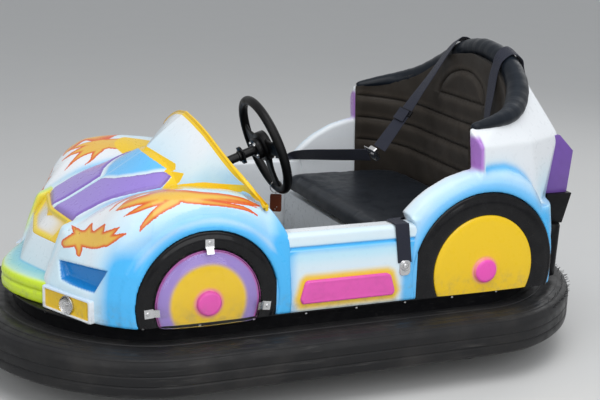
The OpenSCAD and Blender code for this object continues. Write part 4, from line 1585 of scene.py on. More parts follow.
@dataclass
class Seat:
    """The bench: a flat cushion, the wrapped back with its sewn channels, and the rolled top edge."""

    pad: Points = (
        (-440, 398, -426, 392, 742), (-500, 392, -500, 380, 752), (-548, 362, -560, 346, 762),
        (-576, 300, -612, 290, 790), (-590, 220, -642, 226, 832), (-597, 120, -656, 136, 882),
        (-600, 0, -660, 0, 905),
    )
    roll: Points = (
        (-432, 401, 745, 12), (-515, 388, 757, 21), (-585, 356, 770, 29), (-640, 303, 794, 34),
        (-682, 236, 840, 35), (-700, 150, 888, 35), (-702, 75, 912, 34), (-702, 0, 921, 34),
    )
    channels: Sequence[float] = (520.0, 600.0, 678.0)
    arch_centre: tuple[float, float] = (-26.0, 752.0)
    arch_radius: tuple[float, float] = (142.0, 92.0)

    def _back_rows(self, across: int = 220, up: int = 230) -> tuple[Array, Array, Array]:
        """The back's face without its seams.

        Args:
            across: Columns round the face.
            up: Rows up the face.

        Returns:
            The points, the outward normals and each column's share of the way round.
        """
        half = spline(self.pad, 12)
        whole = np.vstack([half, (half * [1, -1, 1, -1, 1])[::-1][1:]])
        length = travelled(whole[:, :2])
        at = np.linspace(0, length[-1], across)
        cols = np.stack([np.interp(at, length, whole[:, k]) for k in range(5)], axis=1)
        share = np.linspace(0.0, 1.0, up)[:, None]
        low_z = 405.0
        z = low_z + (cols[:, 4] - low_z) * share
        t = (z - 385.0) / (cols[:, 4] - 385.0)
        x = cols[:, 0] + (cols[:, 2] - cols[:, 0]) * t
        y = cols[:, 1] + (cols[:, 3] - cols[:, 1]) * t
        rows = np.stack([x, y, z], axis=-1)
        normal = unit(np.cross(np.gradient(rows, axis=1), np.gradient(rows, axis=0)))
        if normal[up // 2, across // 2, 0] < 0:
            normal = -normal
        return rows, normal, at / length[-1]

    @staticmethod
    def droop(height: float, around: Array) -> Array:
        """Height of a sewn channel round the wrapped face. It rises toward both wings."""
        return height + 34.0 * (np.abs(around - 0.5) * 2.0) ** 2

    def make_back(self, vinyl: Finish) -> Piece:
        """Builds the wrapped back with its channels and arch seam pressed in.

        Args:
            vinyl: The seat's finish.

        Returns:
            The finished piece.
        """
        rows, normal, around = self._back_rows()
        y, z = rows[:, :, 1], rows[:, :, 2]
        over = (y - self.arch_centre[0]) / self.arch_radius[0]
        arch = (np.hypot(over, (z - self.arch_centre[1]) / self.arch_radius[1]) - 1.0) * 105.0
        above = z > self.arch_centre[1] - 2.0
        seam = np.full(z.shape, 1e3)
        for height in self.channels:
            seam = np.minimum(seam, np.abs(z - self.droop(height, around)))
        seam = np.minimum(seam, np.where(np.abs(over) < 1.0, np.abs(z - self.arch_centre[1]), 1e3))
        seam = np.minimum(seam, np.where(above, np.abs(arch), 1e3))
        fade = smooth_step(z, 405.0, 440.0)
        groove = bell(seam, 2.0) * 4.2
        puff = 5.0 * (1.0 - np.exp(-(seam / 9.0)))
        wave = 1.0 * np.sin(0.055 * y + 0.021 * z) * np.sin(0.038 * z + 0.013 * y + 1.0)
        crinkle = 0.5 * np.sin(0.31 * y + 0.5 * np.sin(0.05 * z)) * bell(seam, 10.0)
        edge = smooth_step(np.minimum(around, 1 - around), 0.0, 0.02)[None, :]
        lift = (puff - groove + wave + crinkle) * fade * edge
        face = rows + normal * lift[:, :, None]
        depth = 7.0 + 5.0 * smooth_step(np.minimum(around, 1 - around), 0.0, 0.12)
        behind = (rows - normal * depth[None, :, None])[:, ::-1][:, ::9]
        piece = loft("seat_back_pad", np.concatenate([face, behind], axis=1))
        # Painted sheen on the puffs beside the seams, which leaves the seams darker.
        seam_sheen = bell(seam - 14.0, 9.0) * 0.4 * fade
        store(piece, "sheen_and_wear", np.concatenate([seam_sheen, np.zeros(behind.shape[:2])], axis=1).ravel())
        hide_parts("seat_back")
        self.seams = (rows, normal, lift, around)
        return publish(piece, Body.BASE, vinyl)

    def make_cushion(self, vinyl: Finish) -> Piece:
        """Builds the bench cushion, blown up as cloth and flat underneath.

        Args:
            vinyl: The seat's finish.

        Returns:
            The finished piece.
        """
        half = filleted(((-150, 0), (-150, 372), (-300, 378), (-436, 378), (-560, 352),
                         (-584, 290), (-592, 0)),
                        (0, 34, 10, 60, 60, 40, 0), 6)
        whole = np.vstack([half, (half * [1, -1])[::-1][1:-1]])
        centre = np.array([-372.0, 0.0])
        rings = []
        for share, z in ((0.0, 398), (0.5, 398), (0.97, 398), (1.0, 402), (1.0, 424), (0.985, 436),
                         (0.93, 442), (0.75, 443), (0.5, 443), (0.0, 443)):
            ring = centre + (whole - centre) * max(share, 0.02)
            rings.append(np.column_stack([ring, np.full(len(ring), float(z))]))
        piece = loft("seat_cushion_pad", rings)
        self._inflate(piece)
        smooth = piece.modifiers.new("round", "SUBSURF")
        smooth.levels = smooth.render_levels = 1
        apply_modifiers(piece)
        co = places_of(piece)
        co[:, 2] = np.clip(co[:, 2], 393.5, 452.0)
        piece.data.vertices.foreach_set("co", (co * MM).ravel())
        # Lighter along the cushion's front top edge.
        front = smooth_step(co[:, 0], -190.0, -150.0) * smooth_step(co[:, 2], 430.0, 446.0)
        store(piece, "sheen_and_wear", front * 0.6)
        piece.data.polygons.foreach_set("use_smooth", [True] * len(piece.data.polygons))
        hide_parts("seat_cushion")
        return publish(piece, Body.BASE, vinyl)

    @staticmethod
    def _inflate(piece: Piece, cap: float = 9.0) -> None:
        """Swells a pad with a short cloth simulation and keeps the result.

        Args:
            piece: The pad.
            cap: How far a point may move, in millimetres.
        """
        remesh = piece.modifiers.new("remesh", "REMESH")
        remesh.mode, remesh.voxel_size = "VOXEL", 0.006
        apply_modifiers(piece)
        start, end = np.empty((2, len(piece.data.vertices) * 3))
        piece.data.vertices.foreach_get("co", start)
        cloth = piece.modifiers.new("cloth", "CLOTH")
        cloth.settings.use_pressure = True
        cloth.settings.uniform_pressure_force = 4.0
        cloth.settings.tension_stiffness = 18.0
        cloth.settings.bending_stiffness = 0.6
        cloth.settings.effector_weights.gravity = 0.0
        cloth.point_cache.frame_start, cloth.point_cache.frame_end = 1, 20
        for step in range(1, 21):
            bpy.context.scene.frame_set(step)
        swollen = piece.evaluated_get(bpy.context.evaluated_depsgraph_get())
        swollen.to_mesh().vertices.foreach_get("co", end)
        swollen.to_mesh_clear()
        piece.modifiers.clear()
        bpy.context.scene.frame_set(1)
        shift = (end - start).reshape(-1, 3)
        length = np.linalg.norm(shift, axis=1, keepdims=True)
        shift *= np.minimum(1.0, cap * MM / np.maximum(length, 1e-9))
        piece.data.vertices.foreach_set("co", start + shift.ravel())
        piece.data.update()

    def make_roll(self, vinyl: Finish) -> Piece:
        """Builds the rolled edge that runs over the shell's top from one front tip to the other.

        Args:
            vinyl: The seat's finish.

        Returns:
            The finished piece.
        """
        half = spline(self.roll, 14)
        line = np.vstack([half, (half * [1, -1, 1, 1])[::-1][1:]])
        count = len(line)
        t = np.arange(count)
        radius = line[:, 3] * (1.0 + 0.012 * np.sin(t * 0.9) + 0.008 * np.sin(t * 2.3))
        radius[:3] *= (0.6, 0.88, 0.97)
        radius[-3:] *= (0.97, 0.88, 0.6)
        piece = loft("seat_roll_edge", tube(line[:, :3], radius, 28, flat=0.94))
        turn = np.linspace(0.0, 2.0 * pi, 28, endpoint=False)
        # Painted sheen along the top of the roll.
        store(piece, "sheen_and_wear", np.tile(bell(turn - 1.57, 0.5) * 0.25, count))
        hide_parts("seat_roll")
        return publish(piece, Body.BASE, vinyl)

    def make(self, paint: Finish) -> None:
        """Builds the whole seat on its riser.

        Args:
            paint: The finish of the painted mouldings.
        """
        # One black vinyl in two copies with painted light: tinted blue on the cushion and roll for a painted
        # sky reflection, and tinted brown on the back for painted warm light.
        vinyl = Vinyl("black_vinyl_painted_sky_sheen", (0.0055, 0.0085, 0.0135), (0.3, 0.46)).make()
        self.make_back(Vinyl("black_vinyl_painted_warm_light", (0.025, 0.0205, 0.0165), (0.42, 0.6)).make())
        self.make_cushion(vinyl)
        self.make_roll(vinyl)
        publish(bevelled("seat_riser", "seat_riser_box", 6.0), Body.BASE, paint)


@dataclass
class Bumper:
    """The rubber ring, and the pan with the black strip above the ring."""

    end_x: float = 370.0
    end_radius: float = 605.0
    corner_radius: float = 403.0
    half_width: float = 578.0

    def outline(self, steps: int = 28) -> tuple[Array, Array]:
        """The plan outline with its outward directions.

        Args:
            steps: Points along each arc.

        Returns:
            The outline's points and their outward unit vectors, going round once.
        """
        corner_y = self.half_width - self.corner_radius
        corner_x = self.end_x + sqrt((self.end_radius - self.corner_radius) ** 2 - corner_y**2)
        turn = atan2(corner_y, corner_x - self.end_x)
        points, ways = [], []
        for x, y, radius, angles in ((self.end_x, 0.0, self.end_radius, np.linspace(0.0, turn, steps)),
                                     (corner_x, corner_y, self.corner_radius,
                                      np.linspace(turn, pi / 2, steps)[1:])):
            for angle in angles:
                ways.append((cos(angle), sin(angle)))
                points.append((x + radius * ways[-1][0], y + radius * ways[-1][1]))
        side = np.linspace(corner_x, 0.0, 12)[1:]
        points += [(x, self.half_width) for x in side]
        ways += [(0.0, 1.0)] * len(side)
        p, w = (np.vstack([q, (q * [-1, 1])[::-1][1:]]) for q in (np.array(points), np.array(ways)))
        p, w = (np.vstack([q, (q * [1, -1])[::-1][1:-1]]) for q in (p, w))
        return p, w

    def sweep(self, name: str, section: Points) -> Piece:
        """Runs a closed section of inset and height round the outline.

        Args:
            name: The new piece's name.
            section: The section's distances in from the outline, and heights.

        Returns:
            The swept piece.
        """
        p, w = self.outline()
        s = np.array(section, float)
        xy = p[:, None, :] - w[:, None, :] * s[None, :, :1]
        rows = np.concatenate([xy, np.broadcast_to(s[None, :, 1:], (*xy.shape[:2], 1))], axis=2)
        return faced_out(loft(name, np.concatenate([rows, rows[:1]]), caps=False), 1e-6)

    def make_ring(self) -> Finish:
        """Builds the ring with its moulded ribs, soft shoulder and seat for the strip.

        Returns:
            The ring's rubber, for its whiskers.
        """
        outer = filleted(
            ((133, 88), (14, 88), (2, 98), (0.5, 112), (0.5, 121), (3.0, 122.5), (3.0, 126),
             (0.4, 127.5), (0.4, 150), (2.4, 151.5), (2.4, 154.5), (0.4, 156), (0.6, 176), (4, 186),
             (8.5, 192), (8.5, 194.6), (14, 198.5), (22, 201.2), (22, 203.2), (31, 205.6), (40, 207.0),
             (40, 208.6), (58, 210.4), (78, 210.6), (79, 207.8), (84, 207.8), (85, 210.4), (108, 208.4),
             (118, 205.0), (122, 204.6), (134, 204.6)),
            3.0, 3)
        piece = self.sweep("rubber_ring", np.vstack([outer, [(134, 180), (134, 120)]]))
        shade_by_angle(piece, 42.0)
        rubber = Rubber().make()
        publish(piece, Body.BASE, rubber, "bumper_ring")
        return rubber

    def make(self, enamel: Finish) -> Finish:
        """Builds the ring and the pan, and returns the ring's rubber."""
        publish(bevelled("chassis_pan", "pan_and_strip", 1.6, 2), Body.BASE, enamel)
        return self.make_ring()


def revolved(name: str, profile: Points, turn: Matrix, steps: int = 96) -> Piece:
    """Turns a closed profile of radius and height about an axis.

    Args:
        name: The piece's name.
        profile: The profile's corners.
        turn: Where the axis stands, in millimetres; the profile's height runs along its z.
        steps: Faces round the axis.

    Returns:
        The new object.
    """
    p = np.array(profile, float)
    angle = np.linspace(0.0, 2.0 * pi, steps + 1)[:, None]
    height = np.broadcast_to(p[:, 1], (steps + 1, len(p)))
    rings = np.stack([p[:, 0] * np.cos(angle), p[:, 0] * np.sin(angle), height], axis=-1)
    return faced_out(loft(name, placed(rings, turn), caps=False), 1e-6)


def joined(name: str, parts: Sequence[Piece], degrees: float = 40.0) -> Piece:
    """Makes one object of several and shades it smooth with crisp edges.

    Args:
        name: The new piece's name.
        parts: The objects, which are used up.
        degrees: Smallest angle that is shaded as an edge.

    Returns:
        The new piece.
    """
    bm = bmesh.new()
    for part in parts:
        bm.from_mesh(part.data)
        bpy.data.objects.remove(part)
    piece = built(name, bm)
    shade_by_angle(piece, degrees)
    return piece


def cut_below(piece: Piece, height: float) -> None:
    """Cuts a closed mesh flat at a height and closes the cut.

    Args:
        piece: The piece.
        height: Height of the cut, in millimetres.
    """
    bm = bmesh.new()
    bm.from_mesh(piece.data)
    bmesh.ops.bisect_plane(bm, geom=bm.verts[:] + bm.edges[:] + bm.faces[:], plane_co=(0, 0, height * MM),
                           plane_no=(0, 0, 1), clear_inner=True)
    bmesh.ops.holes_fill(bm, edges=[e for e in bm.edges if e.is_boundary], sides=0)
    bm.to_mesh(piece.data)
    bm.free()


def hulled(name: str, groups: Sequence[Points], width: float, segments: int = 4) -> Piece:
    """Builds the convex hulls of groups of points, with rounded edges.

    Args:
        name: The piece's name.
        groups: Points in millimetres, one group for each hull.
        width: Width of the rounding.
        segments: Faces across the rounding.

    Returns:
        The new object.
    """
    bm = bmesh.new()
    for group in groups:
        made = [bm.verts.new([c * MM for c in p]) for p in group]
        inner = bmesh.ops.convex_hull(bm, input=made)["geom_interior"]
        bmesh.ops.delete(bm, geom=[g for g in inner if isinstance(g, bmesh.types.BMVert)], context="VERTS")
    bmesh.ops.dissolve_limit(bm, angle_limit=radians(2.0), verts=bm.verts, edges=bm.edges)
    bmesh.ops.recalc_face_normals(bm, faces=bm.faces)
    return round_edges(built(name, bm), width, segments, 20.0, 38.0)


def both(points: Points) -> list[list[list[float]]]:
    """The points and their mirror images on the car's other side, as two groups."""
    return [[list(p) for p in points], [[p[0], -p[1], p[2]] for p in points]]


def box_points(low: Sequence[float], high: Sequence[float]) -> list[list[float]]:
    """The eight corners of a box."""
    return [[a, b, c] for a in (low[0], high[0]) for b in (low[1], high[1]) for c in (low[2], high[2])]


def rounded_box(width: float, depth: float, radius: float) -> Array:
    """Points round a rectangle with round corners, in the plane.

    Args:
        width: Its first size.
        depth: Its second size.
        radius: Radius of the corners.

    Returns:
        The points in order.
    """
    out = []
    for k, (sx, sy) in enumerate(((1, 1), (-1, 1), (-1, -1), (1, -1))):
        for t in np.linspace(0, pi / 2, 6) + k * pi / 2:
            out.append((sx * (width / 2 - radius) + radius * cos(t),
                        sy * (depth / 2 - radius) + radius * sin(t)))
    return np.array(out)


@dataclass
class Scatter:
    """Repeats one small shape at points with a Geometry Nodes modifier.

    Attributes:
        name: The finished piece's name.
        shape: The shape that is repeated, with its own z pointing outwards. It is used up.
        finish: The material of the copies.
        spread: How much the copies' sizes differ, as a share.
        tilt: How far the copies lean at random, in radians.
        seed: Seed of the random numbers.
    """

    name: str
    shape: Piece
    finish: Finish
    spread: float = 0.04
    tilt: float = 0.0
    seed: int = 7

    @property
    def _inputs(self) -> dict[str, float | int]:
        """The group's named inputs and their values."""
        return {"Spread": self.spread, "Tilt": self.tilt, "Seed": self.seed}

    def _tree(self) -> tuple[bpy.types.NodeTree, dict[str, str]]:
        """Builds the node group.

        Returns:
            The group, and the identifiers of its named inputs.
        """
        tree = bpy.data.node_groups.new(f"{self.name}_repeat", "GeometryNodeTree")
        face, names = tree.interface, {}
        face.new_socket("Geometry", in_out="INPUT", socket_type="NodeSocketGeometry")
        for label, value in self._inputs.items():
            kind = "NodeSocketInt" if label == "Seed" else "NodeSocketFloat"
            socket = face.new_socket(label, in_out="INPUT", socket_type=kind)
            socket.default_value = value
            names[label] = socket.identifier
        face.new_socket("Geometry", in_out="OUTPUT", socket_type="NodeSocketGeometry")
        nodes = {label: tree.nodes.new(kind) for label, kind in (
            ("start", "NodeGroupInput"), ("end", "NodeGroupOutput"), ("source", "GeometryNodeObjectInfo"),
            ("way", "GeometryNodeInputNamedAttribute"), ("run", "GeometryNodeInputNamedAttribute"),
            ("facing", "FunctionNodeAlignRotationToVector"),
            ("running", "FunctionNodeAlignRotationToVector"), ("lean", "FunctionNodeRandomValue"),
            ("turn", "FunctionNodeRotateRotation"), ("grow", "FunctionNodeRandomValue"),
            ("back", "ShaderNodeMath"), ("low", "ShaderNodeMath"), ("high", "ShaderNodeMath"),
            ("copies", "GeometryNodeInstanceOnPoints"), ("solid", "GeometryNodeRealizeInstances"),
            ("coat", "GeometryNodeSetMaterial"),
        )}
        for label in ("way", "run"):
            nodes[label].data_type = "FLOAT_VECTOR"
            nodes[label].inputs["Name"].default_value = label
        for label, operation, slot, number in (("back", "MULTIPLY", 1, -1.0), ("low", "SUBTRACT", 0, 1.0),
                                               ("high", "ADD", 0, 1.0)):
            nodes[label].operation = operation
            nodes[label].inputs[slot].default_value = number
        nodes["source"].inputs["Object"].default_value = self.shape
        nodes["facing"].axis, nodes["running"].axis, nodes["running"].pivot_axis = "Z", "X", "Z"
        nodes["lean"].data_type, nodes["grow"].data_type = "FLOAT_VECTOR", "FLOAT"
        nodes["turn"].rotation_space = "LOCAL"
        nodes["coat"].inputs["Material"].default_value = self.finish
        for giver, output, taker, socket in (
            ("way", "Attribute", "facing", "Vector"), ("facing", "Rotation", "running", "Rotation"),
            ("run", "Attribute", "running", "Vector"), ("start", "Tilt", "back", 0), ("back", 0, "lean", 0),
            ("start", "Tilt", "lean", 1), ("start", "Seed", "lean", "Seed"),
            ("running", "Rotation", "turn", "Rotation"), ("lean", 0, "turn", "Rotate By"),
            ("start", "Spread", "low", 1), ("start", "Spread", "high", 1), ("low", 0, "grow", 2),
            ("high", 0, "grow", 3), ("start", "Seed", "grow", "Seed"),
            ("start", "Geometry", "copies", "Points"), ("source", "Geometry", "copies", "Instance"),
            ("turn", "Rotation", "copies", "Rotation"), ("grow", 1, "copies", "Scale"),
            ("copies", "Instances", "solid", "Geometry"), ("solid", "Geometry", "coat", "Geometry"),
            ("coat", "Geometry", "end", 0),
        ):
            tree.links.new(nodes[giver].outputs[output], nodes[taker].inputs[socket])
        return tree, names

    def make(self, points: Points, ways: Points, body: Body, slot: str, runs: Points | None = None) -> Piece:
        """Places the copies and keeps them as one mesh.

        Args:
            points: Where the copies stand, in millimetres.
            ways: Which way each copy's own z points.
            body: The body that they ride on.
            slot: Not used.
            runs: Which way each copy's own x points, if that matters.

        Returns:
            The finished piece.
        """
        piece = new_mesh(self.name, np.asarray(points, float) * MM, [])
        for label, values in (("way", ways), ("run", ways if runs is None else runs)):
            values = np.asarray(values, float)
            if label == "run" and runs is None:
                values = np.stack([-values[:, 1], values[:, 0], 0.001 + values[:, 2] * 0], axis=1)
            attribute = piece.data.attributes.new(label, "FLOAT_VECTOR", "POINT")
            attribute.data.foreach_set("vector", values.astype(np.float32).ravel())
        tree, names = self._tree()
        modifier = piece.modifiers.new("repeat", "NODES")
        modifier.node_group = tree
        for label, value in self._inputs.items():
            modifier[names[label]] = value
        apply_modifiers(piece)
        bpy.data.objects.remove(self.shape)
        shade_by_angle(piece, 40.0)
        return publish(piece, body, self.finish)


def bolt_head(name: str, radius: float, height: float) -> Piece:
    """Builds a six-sided bolt head on a washer, standing on z = 0.

    Args:
        name: The new piece's name.
        radius: Radius of the head over its corners.
        height: Height of the head.

    Returns:
        The bolt's head.
    """
    profile = ((0, -1), (radius * 1.5, -1), (radius * 1.5, height * 0.18), (radius * 1.42, height * 0.26),
               (0, height * 0.26))
    washer = revolved("washer", profile, Matrix(), 24)
    turns = [k * pi / 3 for k in range(6)]
    head = loft("head", [[[radius * scale * cos(t), radius * scale * sin(t), height * z] for t in turns]
                         for scale, z in ((1.0, 0.2), (1.0, 0.86), (0.9, 1.0), (0.5, 1.03))])
    return joined(name, (washer, head), 25.0)


def dome_head(name: str, radius: float, height: float) -> Piece:
    """Builds a round rivet head, standing on z = 0."""
    curve = [(radius * cos(a), height * sin(a)) for a in np.linspace(0.0, pi / 2, 6)[:-1]]
    profile = [(0, -0.6), (radius * 1.02, -0.6), *curve, (0, height)]
    return revolved(name, profile, Matrix(), 14)


@dataclass
class Nose:
    """The bumper lip, the grille in its channel, and the lamps in their frames."""

    lip_low: Points = ((-203, 793), (-150, 829), (-70, 866), (0, 880), (70, 866), (150, 829), (203, 793))
    frame_at: tuple[float, float] = (793.0, 206.0)
    frame_turn: float = 27.46
    ridge: float = 18.0

    def blunt(self, y: Array | float) -> Array | float:
        """Distance from the middle, with the nose's blunt ridge eased."""
        return np.sqrt(np.square(y) + self.ridge**2) - self.ridge

    def make_lip(self, paint: Finish) -> Piece:
        """Builds the lip: a rolled lower edge, a soft groove, and a slope up to the channel's step.

        Args:
            paint: The finish of the painted mouldings.

        Returns:
            The finished piece.
        """
        front = smooth_table(self.lip_low, 1, 14.0)
        rows, lime, sun, pale, sky = [], [], [], [], []
        for s in np.concatenate([[0.0, 0.015], np.linspace(0.04, 0.96, 44), [0.985, 1.0]]):
            y = -203.0 + 406.0 * s
            x = float(front(np.array(y)))
            inset = 4.0 * max(0.0, 1.0 - min(s, 1.0 - s) / 0.03) ** 2
            off = self.blunt(y)
            foot, top = (823.0 - 0.272 * off, 331.0 + 0.06 * off), (784.0 - 0.21 * off, 414.0 + 0.074 * off)
            section = filleted(((x - 8, 255), (x - 2, 259), (x, 268), (x, 284), (x - 5, 291),
                                (x - 1, 298), (x, 306), (x - 3, 318), (x - 11, 325), foot,
                                (top[0] + 1, top[1] - 3), (top[0] - 6, top[1] + 1),
                                (top[0] - 18, top[1] + 1)), (0, 3, 6, 6, 5, 5, 8, 7, 6, 7, 3, 3, 0), 4)
            rows.append([[px - inset, y, pz] for px, pz in section]
                        + [[728.0, y, top[1] + 1], [728.0, y, 255.0]])
            px, z = np.vstack([section, [(728, top[1] + 1), (728, 255)]]).T
            low = 1.0 - smooth_step(z, 317.0, 328.0)
            wall = smooth_step(z, foot[1] - 2.0, foot[1] + 9.0)
            slope = (1 - low) * (1 - wall)
            end = 1 - smooth_step(min(s, 1 - s), 0.0, 0.10)
            lime.append(low + 0.30 * slope)
            # Painted highlight: a yellow line along the groove in the lip's front face.
            sun.append(0.6 * bell(z - 291.0, 7.0) * (px > x - 12))
            pale.append(0.4 * slope + 0.25 * wall)
            sky.append(0.6 * slope + 0.8 * bell(z - foot[1], 3.5) + 0.4 * end * (1 - low))
        piece = loft("nose_lip_moulding", rows)
        for name, values in (("lime", lime), ("sun", sun), ("pale", pale), ("sky", sky)):
            store(piece, name, np.concatenate(values))
        shade_by_angle(piece, 50.0)
        return publish(piece, Body.BASE, paint, "nose_lip")

    def make_grille(self, paint: Finish) -> Piece:
        """Builds the grille plate with its pressed, pale middle.

        Args:
            paint: The finish of the painted mouldings.

        Returns:
            The finished piece.
        """
        yy, up = np.meshgrid(np.linspace(-174.0, 174.0, 100), np.linspace(0.0, 93.0, 36), indexing="ij")
        inside = -polygon_distance(yy, up, ((-148, 84), (148, 84), (128, 12), (-128, 12)))
        dent = smooth_step(inside, -2.0, 9.0)
        edge = np.minimum(174.0 - np.abs(yy), np.minimum(up, 93.0 - up))
        sunk = 6.0 * dent + 3.0 * (1 - smooth_step(edge, 0.0, 4.0))
        off, t = self.blunt(yy), up / 93.0
        xx = (785.5 - 0.21 * off) * (1 - t) + (729.0 - 0.146 * off) * t
        zz = (412.0 + 0.074 * off) * (1 - t) + 487.0 * t
        face = np.stack([xx - 0.8 * sunk, yy, zz - 0.6 * sunk], axis=-1)
        back = np.stack([xx - 10.4, yy, zz - 7.8], axis=-1)
        piece = loft("grille_plate", np.concatenate([face, back[:, ::-1]], axis=1))
        centre = np.exp(-((yy / 128.0) ** 4) - (((up - 46.0) / 31.0) ** 4)) * smooth_step(inside, 0.0, 15.0)
        for name, values in (("sun", np.clip(1.0 - 0.96 * centre, 0, 1)),
                             ("lime", 0.22 * bell(inside, 7.0))):
            store(piece, name, np.concatenate([values, values[:, ::-1]], axis=1).ravel())
        shade_by_angle(piece, 50.0)
        return publish(piece, Body.BASE, paint, "grille_panel")

    def _local(self, side: int) -> Matrix:
        """The lamp's own axes: x out of the frame, y along it, z up."""
        flip = Matrix.Scale(-1, 4, (0, 1, 0)) if side < 0 else Matrix()
        place = Matrix.Translation((*self.frame_at, 0))
        return flip @ place @ Matrix.Rotation(radians(self.frame_turn), 4, "Z")

    def make_lamps(self, paint: Finish, glass: Finish, steel: Finish) -> None:
        """Builds both frames with their recesses, and in each a ribbed round lens over a bright cup.

        Args:
            paint: The finish of the painted mouldings.
            glass: The clear plastic.
            steel: The bright metal.
        """
        frames, lenses, cups = [], [], []
        for side in (1, -1):
            turn = self._local(side)
            rings = []
            for x, grow, radius in ((-34, 0, 3), (8.5, 0, 3), (11, -1.2, 4), (12, -3.5, 5), (12, -8, 5),
                                    (11, -10.2, 5), (7.5, -11.6, 4), (6, -13.5, 3), (6, -24, 3)):
                loop = rounded_box(204 + 2 * grow, 65 + 2 * grow * 0.62, min(radius, 5))
                rings.append([[x, 107 + p[0], 288.5 + p[1]] for p in loop])
            frames.append(loft("frame", placed(rings, turn)))
            seat = turn @ Matrix.Translation((6.3, 110, 288)) @ Matrix.Rotation(radians(90), 4, "Y")
            cups.append(revolved("cup", ((0, -0.5), (26.4, -0.5), (26.4, 5.5), (25.2, 6.6), (23.6, 5.6),
                                         (15, 1.6), (4, 1.0), (3, 6), (0, 6.5)), seat, 48))
            lenses.append(self._lens(seat))
        frame_piece = joined("lamp_frame_pair", frames, 45.0)
        x, y, z = places_of(frame_piece).T
        c, s = cos(radians(self.frame_turn)), sin(radians(self.frame_turn))
        out = (x - self.frame_at[0]) * c + (np.abs(y) - self.frame_at[1]) * s
        along = -(x - self.frame_at[0]) * s + (np.abs(y) - self.frame_at[1]) * c
        within = (along > 15) & (along < 200) & (z > 262) & (z < 315)
        store(frame_piece, "sun", np.where(within & (out < 11.2), smooth_step(-out, -11.0, -7.0), 0.0))
        store(frame_piece, "sky", 0.25 * (z > 318))
        publish(frame_piece, Body.BASE, paint, "lamp_frames")
        publish(joined("lamp_lens_pair", lenses, 30.0), Body.BASE, glass, "lamp_lenses")
        publish(joined("lamp_cups", cups), Body.BASE, steel)

    @staticmethod
    def _lens(seat: Matrix) -> Piece:
        """One lens with its moulded rings and rays.

        Args:
            seat: Where the lens sits and which way it looks.

        Returns:
            The lens.
        """
        radius = np.concatenate([np.linspace(25.0, 24.4, 3), np.linspace(23.4, 0.4, 26)])
        angle = np.linspace(0, 2 * pi, 73)[:-1]
        rr, aa = np.meshgrid(radius, angle, indexing="ij")
        height = 6.0 + 13.0 * np.sqrt(np.maximum(1.0 - (rr / 25.0) ** 2, 0.0))
        ray = 0.9 * np.cos(18 * aa) * smooth_step(rr, 6.0, 12.0) * (rr < 24)
        height = height + ray + 0.8 * np.cos(rr * 1.35) * (rr < 23)
        top = np.stack([rr * np.cos(aa), rr * np.sin(aa), height], axis=-1)
        return loft("lens", placed(np.concatenate([top[::-1], top[:1] * [1, 1, 0] + [0, 0, 4.6]]), seat))

    def make(self, paint: Finish, glass: Finish, steel: Finish) -> None:
        """Builds everything on the nose."""
        self.make_lip(paint)
        self.make_grille(paint)
        self.make_lamps(paint, glass, steel)


